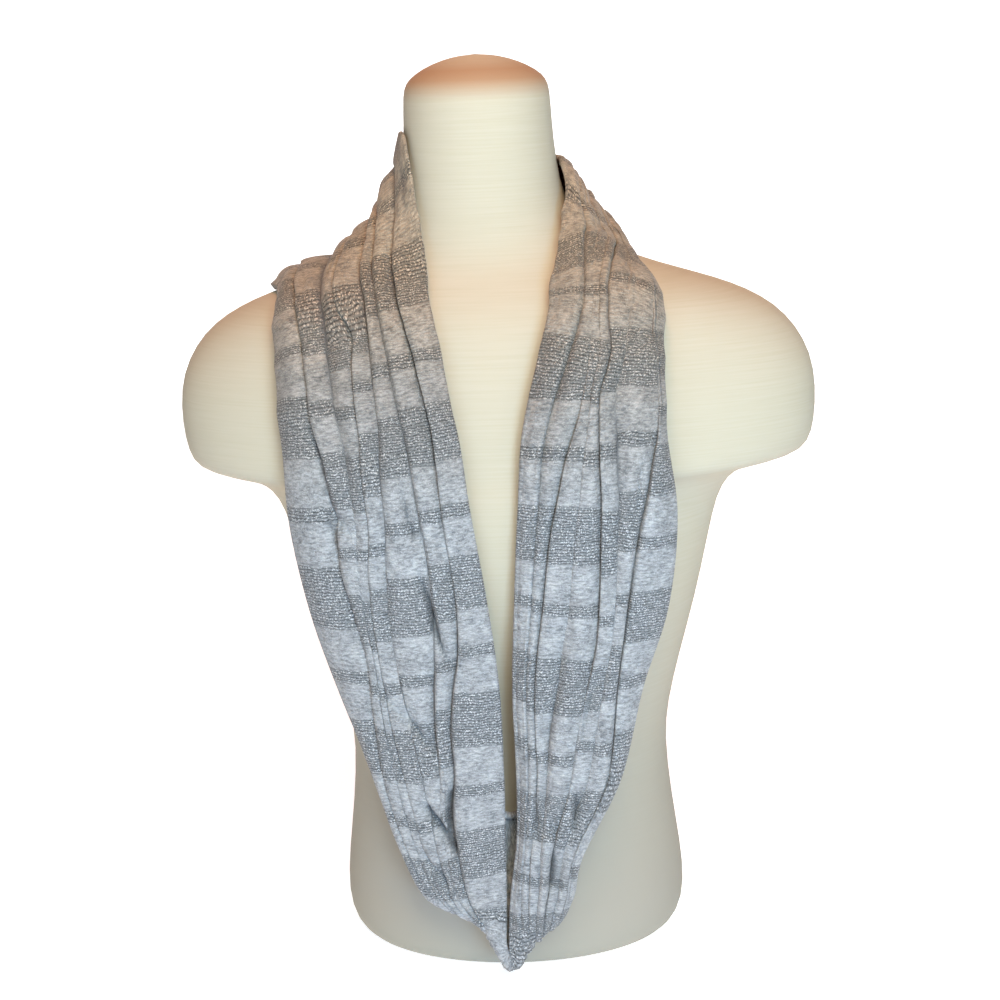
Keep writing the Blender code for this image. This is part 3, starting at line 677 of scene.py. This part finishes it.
def fold_depths(along_mm, across_mm):
    """How deep the short folds press in, in mm, at grid points of the cloth."""
    pressed = np.zeros_like(along_mm)
    for _, inner_width, outer_width, points in SHORT_FOLDS:
        line = smooth_line(points)
        line_along, line_across = to_cloth_mm(line[:, 0], line[:, 1])
        first, last = line_along.min() - FOLD_REACH_MM, line_along.max() + FOLD_REACH_MM
        rows = (along_mm[:, 0] > first) & (along_mm[:, 0] < last)
        x, y = along_mm[rows], across_mm[rows]
        nearest, depth, side = np.full(x.shape, np.inf), np.zeros(x.shape), np.zeros(x.shape)
        for k in range(len(line) - 1):
            from_x, from_y = x - line_along[k], y - line_across[k]
            dx, dy = line_along[k + 1] - line_along[k], line_across[k + 1] - line_across[k]
            t = np.clip((from_x * dx + from_y * dy) / (dx * dx + dy * dy + TINY), 0, 1)
            away_x, away_y = from_x - t * dx, from_y - t * dy
            distance = np.hypot(away_x, away_y)
            closer = distance < nearest
            nearest = np.where(closer, distance, nearest)
            depth = np.where(closer, line[k, 2] + t * (line[k + 1, 2] - line[k, 2]), depth)
            side = np.where(closer, away_y, side)
        width = np.where(side > 0, outer_width, inner_width)
        valley = np.clip(depth, 0, None) * np.exp(-((nearest / width) ** FOLD_BLUNTNESS))
        pressed[rows] = np.maximum(pressed[rows], valley)
    return pressed


print("the deepest is", max(depth for *_, line in SHORT_FOLDS for _, _, depth in line), "mm")

# %% The rolled edge and the rolled hem
ROLL_STEPS = 7  # spans round the rolled edge
ROLL_RADIUS = 0.4  # of the gathers' height
SMALLEST_ROLL = 0.35  # of that radius, where the first layer is flat
ROLL_TAIL_MM = 4.0
HEM_ROLL_STEPS = 6
HEM_ROLL_RADIUS = ((8, 12, 18, 22), (0.8, 2.4, 2.4, 0.8))  # by place, in mm
HEM_ROLL_TURN = math.radians(290)


def rolled_edge(start, out, side, radius):
    """The neck-side edge: a tail under the cloth, then a roll that comes up to the first point."""
    centre = start - out * radius
    roll = [
        centre + radius * (out * math.cos(angle) - side * math.sin(angle))
        for angle in np.linspace(math.pi, 0, ROLL_STEPS + 1)[:-1]
    ]
    return [centre - out * radius + side * ROLL_TAIL_MM * MM, *roll]


def rolled_hem(place, before_last, last):
    """The outer hem: it curls away from the body after the row's last point."""
    turn, height, _ = section_numbers(place)[9:PLEAT]
    away = hang_point(turn, height, 1.0) - hang_point(turn, height, 0.0)
    away /= np.linalg.norm(away)
    onward = last - before_last
    onward -= away * (onward @ away)
    onward /= np.linalg.norm(onward)
    radius = np.interp(place % SECTION_COUNT, *HEM_ROLL_RADIUS) * MM
    return [
        last + radius * (away * (1 - math.cos(angle)) + onward * math.sin(angle))
        for angle in np.linspace(0, HEM_ROLL_TURN, HEM_ROLL_STEPS + 1)[1:]
    ]


print("the roll of the hem is", 2 * max(HEM_ROLL_RADIUS[1]), "mm thick at the bottom")

# %% Lay out the cloth
TUCK_STEPS = 9  # spans from the outer turn to the hem
FOLD_FLOOR_MM = 5.0  # a short fold may sink this far below the layers' foot
HOLLOW_LEVEL = 0.4  # cloth lower than this share of the gathers' height lies in a hollow and gets painted shade
HOLLOW_MARGIN_MM = 5.0
CLEAR_SHARE = 0.5  # of that margin, in from the band's two edges, never counts as a hollow
ROW_NUDGE = 0.02  # in sections: how far each way the loop's direction is measured


def cloth_row(place):
    """One row from the rolled edge to the hem: x, y, z and the painted shade of each point, by how deep in a
    fold it lies.
    """
    line, along, outer = flat_section(place)
    pleat = section_numbers(place)[PLEAT]
    flat_distances, heights, leans = layered_profile(place, outer, pleat)
    cloth_mm = to_cloth_mm(np.full((1, len(flat_distances)), place), (flat_distances / outer)[None])
    pressed = fold_depths(*cloth_mm)[0] * MM
    heights = np.maximum(heights - pressed, np.minimum(heights, -FOLD_FLOOR_MM * MM))
    from_edges = np.minimum(flat_distances, outer - flat_distances)
    fold_shade_share = np.clip(1 - heights / (HOLLOW_LEVEL * pleat * MM), 0, 1)
    fold_shade_share *= np.clip(from_edges / (HOLLOW_MARGIN_MM * MM) - CLEAR_SHARE, 0, 1)
    tuck = np.linspace(outer, along[-1], TUCK_STEPS + 1)[1:]
    fade = np.linspace(1, 0, TUCK_STEPS + 1)[1:] ** 2
    distances = np.concatenate([flat_distances + leans, tuck])
    heights = np.concatenate([heights, heights[-1] * fade])
    after, before = (
        on_line(*nearby[:2], distances * nearby[2] / outer)
        for nearby in (flat_section(place + ROW_NUDGE), flat_section(place - ROW_NUDGE))
    )
    sideways = on_line(line, along, distances + MM) - on_line(line, along, distances - MM)
    out = np.cross(sideways, after - before)
    out /= np.linalg.norm(out, axis=1)[:, None]
    points = on_line(line, along, distances) + out * heights[:, None]
    flatness = max(SMALLEST_ROLL, np.interp(place % SECTION_COUNT, *NECK_PULL))
    side = sideways[0] / np.linalg.norm(sideways[0])
    edge = rolled_edge(points[0], out[0], side, ROLL_RADIUS * pleat * MM * flatness)
    row = np.vstack([edge, points, rolled_hem(place, *points[-2:])])
    fold_shade_shares = np.zeros(len(row))
    fold_shade_shares[len(edge) : len(edge) + len(fold_shade_share)] = fold_shade_share
    return np.column_stack([row, fold_shade_shares])


cloth_rows = np.array([cloth_row(place) for place in row_places])
cloth, cloth_fold_shades = cloth_rows[..., :3], cloth_rows[..., 3]
cloth[..., 1] += FORM_SHIFT
COLUMNS = cloth.shape[1]
cloth_low, cloth_high = cloth.min(axis=(0, 1)).round(3), cloth.max(axis=(0, 1)).round(3)
print("cloth grid", cloth.shape, "from", cloth_low, "to", cloth_high)

# %% [markdown]
# ## The stripes' place on the cloth
# The stripes are knitted straight across the band, 14 of them round the loop, each followed by a thin one. As
# the cloth is gathered, each layer slides a little against the next, so the stripes jog at every crease. A
# table gives the place of the stripes on each of the seven layers, and the UV map holds the result in metres
# of knit.

# %% Stripe table
STRIPE_PERIOD = 110 * MM
STRIPE_PLACES = (
    # stripe number (whole is the wide stripe's middle, half is the thin one), then its place on each layer
    (0.0, 5.64, 5.59, 5.59, 6.05, 6.09, 5.77, 5.00),
    (0.5, 6.40, 6.41, 6.46, 6.57, 6.83, 6.75, 6.00),
    (1.0, 7.12, 7.17, 7.22, 7.35, 7.59, 7.52, 6.94),
    (1.5, 7.91, 7.95, 8.06, 8.28, 8.32, 8.30, 7.88),
    (2.0, 8.69, 8.79, 8.93, 8.98, 9.15, 9.05, 8.83),
    (2.5, 9.46, 9.66, 9.84, 9.94, 10.01, 9.95, 9.82),
    (3.0, 10.32, 10.51, 10.66, 10.72, 10.74, 10.70, 10.65),
    (4.0, 11.96, 12.40, 12.40, 12.45, 12.40, 12.35, 12.30),
    (4.5, 13.10, 13.45, 13.60, 13.65, 13.70, 13.70, 13.70),
    (5.0, 16.30, 16.30, 16.35, 16.30, 16.40, 16.35, 16.30),
    (5.5, 17.40, 17.40, 17.40, 17.45, 17.40, 17.40, 17.70),
    (6.0, 18.47, 18.50, 18.50, 18.55, 18.50, 18.60, 19.20),
    (6.5, 19.40, 19.28, 19.24, 19.22, 19.40, 19.35, 20.10),
    (7.0, 20.20, 20.10, 20.06, 20.06, 20.00, 20.25, 20.90),
    (7.5, 21.10, 21.05, 21.00, 20.98, 20.86, 21.10, 21.70),
    (8.0, 21.80, 21.80, 21.80, 21.82, 21.70, 21.95, 22.50),
    (8.5, 22.60, 22.60, 22.60, 22.55, 22.62, 22.75, 23.05),
    (9.0, 23.46, 23.46, 23.46, 23.44, 23.60, 23.65, 23.70),
    (9.5, 24.30, 24.30, 24.30, 24.32, 24.50, 24.50, 24.50),
    (10.0, 24.98, 24.98, 25.02, 25.06, 25.12, 25.10, 25.16),
    (10.5, 25.75, 25.78, 25.82, 25.90, 25.96, 25.92, 26.00),
    (11.0, 27.30, 27.40, 27.30, 27.38, 27.30, 27.34, 27.25),
    (12.0, 29.90, 30.00, 29.92, 30.02, 29.96, 29.90, 30.00),
    (13.0, 32.60, 32.70, 32.60, 32.64, 32.72, 32.60, 32.50),
)
STRIPE_COUNT = 14
# the table laid out over three laps of the loop: the stripes' numbers, and their places on each layer
stripe_numbers, *stripe_places = (
    np.concatenate([column + lap * step for lap in (-1, 0, 1)])
    for column, step in zip(np.array(STRIPE_PLACES).T, [STRIPE_COUNT] + [SECTION_COUNT] * LAYER_COUNT)
)


def row_phases(place):
    """The stripe number at every point of a row: it grows by one a stripe, and jogs at each crease."""
    by_layer = np.array([np.interp(place, places, stripe_numbers) for places in stripe_places])
    points = [np.repeat(by_layer[:1], ROLL_STEPS + 2)]
    for number, here in enumerate(by_layer):
        following = by_layer[min(number + 1, LAYER_COUNT - 1)]
        points.append(np.append(np.repeat(here, LAYER_STEPS - 1), (here + following) / 2))
    points.append(np.repeat(by_layer[-1:], TUCK_STEPS + HEM_ROLL_STEPS))
    return np.concatenate(points)


phases = np.array([row_phases(place) for place in row_places])
print("stripe phase runs from", phases.min().round(2), "to", phases.max().round(2), phases.shape)

# %% Make the band
CLOTH_WALL_MM = 1.2
steps_across = np.linalg.norm(np.diff(cloth, axis=1), axis=2)
across_metres = np.concatenate([np.zeros((BAND_ROWS, 1)), np.cumsum(steps_across, axis=1)], axis=1)


def band_mesh(name):
    """The cloth as a closed loop of quads, and a UV map in metres: across the band and along the knit."""
    faces, corner_uvs = [], []
    for row in range(BAND_ROWS):
        following = (row + 1) % BAND_ROWS
        lap = STRIPE_COUNT if following == 0 else 0
        for k in range(COLUMNS - 1):
            ring = ((row, k), (row, k + 1), (following, k + 1), (following, k))
            faces.append([r * COLUMNS + c for r, c in ring])
            for number, (r, c) in enumerate(ring):
                wrap = lap if number > 1 else 0
                corner_uvs.extend((across_metres[r, c], (phases[r, c] + wrap) * STRIPE_PERIOD))
    made = bpy.data.meshes.new(name)
    made.from_pydata(cloth.reshape(-1, 3).tolist(), [], faces)
    made.uv_layers.new(name="knit_metres").data.foreach_set("uv", corner_uvs)
    # the painted fold shade of each point, which darkens the knit's colour
    made.attributes.new("painted_fold_shade", "FLOAT", "POINT").data.foreach_set("value", cloth_fold_shades.ravel())
    made.update()
    return made


scarf = bpy.data.objects.new("scarf_band", band_mesh("scarf_band"))
bpy.context.scene.collection.objects.link(scarf)
bpy.ops.object.select_all(action="DESELECT")
scarf.select_set(True)
bpy.context.view_layer.objects.active = scarf
one_side = sum(face.area for face in scarf.data.polygons)
bpy.ops.object.modifier_add(type="SOLIDIFY")
wall = scarf.modifiers[-1]
wall.thickness, wall.offset = CLOTH_WALL_MM * MM, 0.0
bpy.ops.object.modifier_apply(modifier=wall.name)
bpy.ops.object.mode_set(mode="EDIT")
bpy.ops.mesh.select_all(action="SELECT")
bpy.ops.mesh.normals_make_consistent(inside=False)
bpy.ops.object.mode_set(mode="OBJECT")
bpy.ops.object.shade_smooth()
print("band:", len(scarf.data.polygons), "faces;", round(one_side, 4), "square metres of cloth on one side")

# %% [markdown]
# ## Striped knit
# The yarn is a soft pale blue-grey marl, knitted with bands of darker yarn and a glittering silver thread. An
# image of the knit could be wrapped round it, but rules made of numbers stay sharp at any distance. Stripes,
# rows and flecks of silver all come from the cloth's own map, so they follow its folds.

# %% Where a point of the knit lies
ROWS_PER_STRIPE = 54  # 2 mm each, which is two real courses: single ones are too fine to show
WAVERS = (
    # per metre, detail, and reach in stripe periods: soft rows wander over 18 mm and quiver over 4 mm
    (55.0, 2.0, 0.045),
    (260.0, 1.0, 0.016),
)
# a fine machine knit is soft and dull, its short nap catches light at grazing angles, and its thread glitters
knit, knit_shader = new_material("marl and silver striped knit, machine knitted")
knit_map = add_node(knit, "UVMap", uv_map="knit_metres")
map_axes = add_node(knit, "SeparateXYZ", {0: knit_map})
stripe_number = add_node(knit, "Math", {0: map_axes.outputs["Y"], 1: 1 / STRIPE_PERIOD}, operation="MULTIPLY")
for scale, detail, reach in WAVERS:
    waver = add_node(knit, "TexNoise", {"Vector": knit_map, "Scale": scale, "Detail": detail})
    stripe_number = add_node(knit, "Math", {0: waver, 1: reach, 2: stripe_number}, operation="MULTIPLY_ADD")
print("knit rows are", round(STRIPE_PERIOD / ROWS_PER_STRIPE * 1000, 2), "mm apart")

# %% Wide and thin stripes
WIDE_STRIPE, THIN_STRIPE = (0.0, 0.19), (0.507, 0.045)  # middle and half width, in stripe periods
STRIPE_BLUR = 0.012
NOISE_MIDDLE = 0.5 * sum(reach for _, _, reach in WAVERS)  # the noises move every stripe this far on average


def stripe_mask(middle, half_width):
    """1 on the stripe whose middle is at this part of the period, and 0 away from it."""
    away = stripe_number
    for operation, amount in (
        ("ADD", 0.5 - middle - NOISE_MIDDLE),
        ("FRACT", 0.5),  # this and the last use no amount
        ("SUBTRACT", 0.5),
        ("ABSOLUTE", 0.5),
    ):
        away = add_node(knit, "Math", {0: away, 1: amount}, operation=operation)
    edges = {"From Min": half_width - STRIPE_BLUR, "From Max": half_width + STRIPE_BLUR}
    edges.update({"Value": away, "To Min": 1.0, "To Max": 0.0})
    return add_node(knit, "MapRange", edges, interpolation_type="SMOOTHSTEP")


wide_stripe, thin_stripe = stripe_mask(*WIDE_STRIPE), stripe_mask(*THIN_STRIPE)
either_stripe = add_node(knit, "Math", {0: wide_stripe, 1: thin_stripe}, operation="MAXIMUM")
for name, (_, half_width) in (("wide", WIDE_STRIPE), ("thin", THIN_STRIPE)):
    print(name, "stripes are", round(2 * half_width * STRIPE_PERIOD * 1000), "mm wide")

# %% Rows and marl
FURROW_SHARPNESS = 2.5  # the furrow between two rows is narrower than the row
STREAKS = (190.0, 560.0, 1.0)  # per metre: streaks of fibre 5 mm long, across the band, and 2 mm wide
PATCHES = 75.0  # per metre: soft patches 13 mm wide, where the fibre was spun thicker
row_turn = add_node(knit, "Math", {0: stripe_number, 1: 2 * math.pi * ROWS_PER_STRIPE}, operation="MULTIPLY")
row_wave = add_node(knit, "Math", {0: row_turn}, operation="SINE")
furrow_share = add_node(knit, "Math", {0: row_wave, 1: -0.5, 2: 0.5}, operation="MULTIPLY_ADD")
furrow = add_node(knit, "Math", {0: furrow_share, 1: FURROW_SHARPNESS}, operation="POWER")
streak_map = add_node(knit, "Mapping", {0: knit_map, "Scale": STREAKS})
streaks = add_node(knit, "TexNoise", {"Vector": streak_map, "Scale": 1.0, "Detail": 5.0, "Roughness": 0.75})
marl = add_node(knit, "MapRange", {"Value": streaks, "From Min": 0.39, "From Max": 0.61})
patches = add_node(knit, "TexNoise", {"Vector": knit_map, "Scale": PATCHES, "Detail": 2.0})
patch = add_node(knit, "MapRange", {"Value": patches, "From Min": 0.3, "From Max": 0.7})
print("marl streaks are", round(1000 / STREAKS[0]), "by", round(1000 / STREAKS[1]), "mm")

# %% Silver flecks
STITCHES = 1330.0  # per metre: 0.75 mm apart, as coarse as they show
PALE_GLITTER, STRIPE_GLITTER = 0.25, 0.7  # how silver the brightest flecks are
FURROW_SHADE = 0.75  # how much of a fleck is lost where it lies in a furrow
stitch_map = add_node(knit, "Mapping", {0: knit_map, "Scale": (STITCHES, STITCHES, 1.0)})
stitches = add_node(knit, "TexVoronoi", {"Vector": stitch_map, "Scale": 1.0})
chance = add_node(knit, "SeparateColor", {0: stitches.outputs["Color"]})
# the glittering thread shows as a dot on four stitches in ten, and at full strength on one in ten
lucky = add_node(knit, "MapRange", {"Value": chance, "From Min": 0.6, "From Max": 0.9})
dot_edges = {"From Min": 0.4, "From Max": 0.8, "To Min": 1.0, "To Max": 0.0}
dot = add_node(knit, "MapRange", {"Value": stitches.outputs["Distance"], **dot_edges})
bright_dot = add_node(knit, "Math", {0: lucky, 1: dot}, operation="MULTIPLY")
# it lies along the crest of a row, so the furrow between two rows stays dark
crest_share = add_node(knit, "Math", {0: furrow, 1: -FURROW_SHADE, 2: 1.0}, operation="MULTIPLY_ADD")
crest_dot = add_node(knit, "Math", {0: bright_dot, 1: crest_share}, operation="MULTIPLY")
glitter = {1: STRIPE_GLITTER - PALE_GLITTER, 2: PALE_GLITTER}
fleck_share = add_node(knit, "Math", {0: either_stripe, **glitter}, operation="MULTIPLY_ADD")
fleck = add_node(knit, "Math", {0: crest_dot, 1: fleck_share}, operation="MULTIPLY")
print("stitches are", round(1000 / STITCHES, 2), "mm apart")

# %% Yarn colours
YARN_COLOURS = {"pale": ("4D545A", "A2AAAF"), "dark": ("21272B", "737C82")}  # in shade and at its lightest
# the silver thread's colour, and the colour of the painted shade deep in the folds
SILVER, PAINTED_FOLD_SHADE = "D6DDE3", "2E363C"
PATCH_SHARE, STREAK_SHARE = 0.35, 0.65  # of the change from shade to light in the pale yarn
pale_share = add_node(knit, "Math", {0: patch, 1: PATCH_SHARE}, operation="MULTIPLY")
pale_share = add_node(knit, "Math", {0: marl, 1: STREAK_SHARE, 2: pale_share}, operation="MULTIPLY_ADD")
# in the dark stripes the furrows and every stitch's own chance set the shade
dark_share = add_node(knit, "Math", {0: furrow, 1: -0.65, 2: 0.58}, operation="MULTIPLY_ADD")
stitch_chance = {0: chance.outputs["Green"], 1: 0.4, 2: dark_share}
dark_share = add_node(knit, "Math", stitch_chance, operation="MULTIPLY_ADD", use_clamp=True)
pale_yarn, dark_yarn = (
    add_node(knit, "Mix", {0: share, 6: from_hex(shade), 7: from_hex(light)}, data_type="RGBA")
    for share, (shade, light) in zip((pale_share, dark_share), YARN_COLOURS.values())
)
plain_yarn = add_node(knit, "Mix", {0: either_stripe, 6: pale_yarn, 7: dark_yarn}, data_type="RGBA")
yarn = add_node(knit, "Mix", {0: fleck, 6: plain_yarn, 7: from_hex(SILVER)}, data_type="RGBA")
print("yarn colours:", YARN_COLOURS, SILVER)

# %% Painted warm light and painted fold shade
PAINTED_WARM_LIGHT_BANDS = (
    # where the painted warm light begins and ends, in metres above the floor, and the tint above it
    (0.36, 0.46, "ECE1D5"),
    (0.46, 0.55, "FCE4C2"),
)
PAINTED_FOLD_SHADE_STRENGTH = 0.7
# painted warm light and shade from above: over the collar the yarn's colour is multiplied towards a darker
# taupe
place_on_scarf = add_node(knit, "TexCoord")
height_on_form = add_node(knit, "SeparateXYZ", {0: place_on_scarf.outputs["Object"]}).outputs["Z"]
painted_warm_light = from_hex("FFFFFF")
for low, high, colour in PAINTED_WARM_LIGHT_BANDS:
    warm_light_share = add_node(knit, "MapRange", {"Value": height_on_form, "From Min": low, "From Max": high})
    painted_warm_light = add_node(knit, "Mix", {0: warm_light_share, 6: painted_warm_light, 7: from_hex(colour)}, data_type="RGBA")
warm_lit_yarn = add_node(knit, "Mix", {0: 1.0, 6: yarn, 7: painted_warm_light}, data_type="RGBA", blend_type="MULTIPLY")
# painted shade: cloth deep in a fold is darkened towards a shade colour, as little light comes in there
painted_fold_shade = add_node(knit, "Attribute", attribute_name="painted_fold_shade").outputs["Fac"]
fold_shade_share = add_node(knit, "Math", {0: painted_fold_shade, 1: PAINTED_FOLD_SHADE_STRENGTH}, operation="MULTIPLY", use_clamp=True)
shaded_yarn = add_node(knit, "Mix", {0: fold_shade_share, 6: warm_lit_yarn, 7: from_hex(PAINTED_FOLD_SHADE)}, data_type="RGBA")
knit.node_tree.links.new(first_output(shaded_yarn), knit_shader.inputs["Base Color"])
print(len(PAINTED_WARM_LIGHT_BANDS), "changes of dye up the scarf")

# %% Sheen and relief of the knit
DULL_YARN, SHINY_THREAD = 0.78, 0.32  # roughness
STITCH_RELIEF = 1.2  # of a stitch's own height, beside the wave of the rows
PUCKERS = (170.0, 85.0, 1.0)  # per metre: the loose knit puckers softly, in creases 6 mm wide and 12 mm long
fleck_gloss = add_node(knit, "MapRange", {"Value": fleck, "To Min": DULL_YARN, "To Max": SHINY_THREAD})
knit.node_tree.links.new(first_output(fleck_gloss), knit_shader.inputs["Roughness"])
knit_shader.inputs["Sheen Weight"].default_value = 0.12
knit_shader.inputs["Sheen Roughness"].default_value = 0.5
row_relief = add_node(
    knit, "Math", {0: chance.outputs["Green"], 1: STITCH_RELIEF, 2: row_wave}, operation="MULTIPLY_ADD"
)
pucker_map = add_node(knit, "Mapping", {0: knit_map, "Scale": PUCKERS})
puckers = add_node(knit, "TexNoise", {"Vector": pucker_map, "Scale": 1.0, "Detail": 3.0, "Distortion": 0.8})
pucker_bump = add_node(knit, "Bump", {"Height": puckers, "Strength": 0.5, "Distance": 4 * MM})
knit_bump = add_node(
    knit, "Bump", {"Height": row_relief, "Strength": 0.35, "Distance": 0.4 * MM, "Normal": pucker_bump}
)
knit.node_tree.links.new(first_output(knit_bump), knit_shader.inputs["Normal"])
scarf.data.materials.append(knit)
print("knit:", len(knit.node_tree.nodes), "nodes")

# %% [markdown]
# ## The form's cover
# The form wears a tight cover of cream cotton jersey with a slubby, fine cross grain. A flat colour would
# look like plastic, so a noise stretched sideways draws the slubs. Painted warm light tints a band round the
# neck's rim, and painted shade greys the cover towards the base.

# %% The cover's finish
COVER_DARK, COVER_LIGHT = "A6A390", "B1AFA0"
# the colours of the painted warm light round the neck's rim and of the painted shade towards the base
RIM_PAINTED_WARM_LIGHT, BASE_PAINTED_SHADE = "967F66", "96948A"
SLUBS = (18.0, 18.0, 850.0)  # per metre: slubs some 55 mm long and 1.2 mm high
PAINTED_LIGHT_AND_SHADE_ZONES = (
    # where a tint's share begins and where it is full, in metres above the floor
    (0.655, 0.67),  # up to the neck's rim
    (0.688, 0.677),  # down to it from the top
    (0.32, 0.05),  # down to the base
)
# stretched cotton jersey is matt and even, and only its slubs show, as faint level streaks
cover, cover_shader = new_material("cream slub jersey, stretched over the form")
cover_shader.inputs["Roughness"].default_value = 0.85
cover_shader.inputs["Specular IOR Level"].default_value = 0.3
place_on_form = add_node(cover, "TexCoord").outputs["Object"]
slub_map = add_node(cover, "Mapping", {0: place_on_form, "Scale": SLUBS})
slub = add_node(cover, "TexNoise", {"Vector": slub_map, "Scale": 1.0, "Detail": 3.0})
tint = add_node(cover, "Mix", {0: slub, 6: from_hex(COVER_DARK), 7: from_hex(COVER_LIGHT)}, data_type="RGBA")
# painted warm light in a soft band round the rim of the neck, and painted shade that makes the cover a little
# greyer towards the base
cover_height = add_node(cover, "SeparateXYZ", {0: place_on_form}).outputs["Z"]
below_rim, above_rim, base_shade_share = (
    add_node(cover, "MapRange", {"Value": cover_height, "From Min": begins, "From Max": full})
    for begins, full in PAINTED_LIGHT_AND_SHADE_ZONES
)
rim_light_share = add_node(cover, "Math", {0: below_rim, 1: above_rim}, operation="MULTIPLY")
rim_lit_tint = add_node(cover, "Mix", {0: rim_light_share, 6: tint, 7: from_hex(RIM_PAINTED_WARM_LIGHT)}, data_type="RGBA")
# painted shade: the cover is greyer towards the base
base_shaded_tint = add_node(cover, "Mix", {0: base_shade_share, 6: rim_lit_tint, 7: from_hex(BASE_PAINTED_SHADE)}, data_type="RGBA")
cover.node_tree.links.new(first_output(base_shaded_tint), cover_shader.inputs["Base Color"])
form.data.materials.append(cover)
print("cover:", cover.name)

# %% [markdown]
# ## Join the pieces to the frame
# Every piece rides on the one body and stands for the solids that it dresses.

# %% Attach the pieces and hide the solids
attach(form, "root")
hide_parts("dress_form")
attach(scarf, "root")
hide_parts("scarf_back_neck", "scarf_right_front", "scarf_left_front", "scarf_bottom")
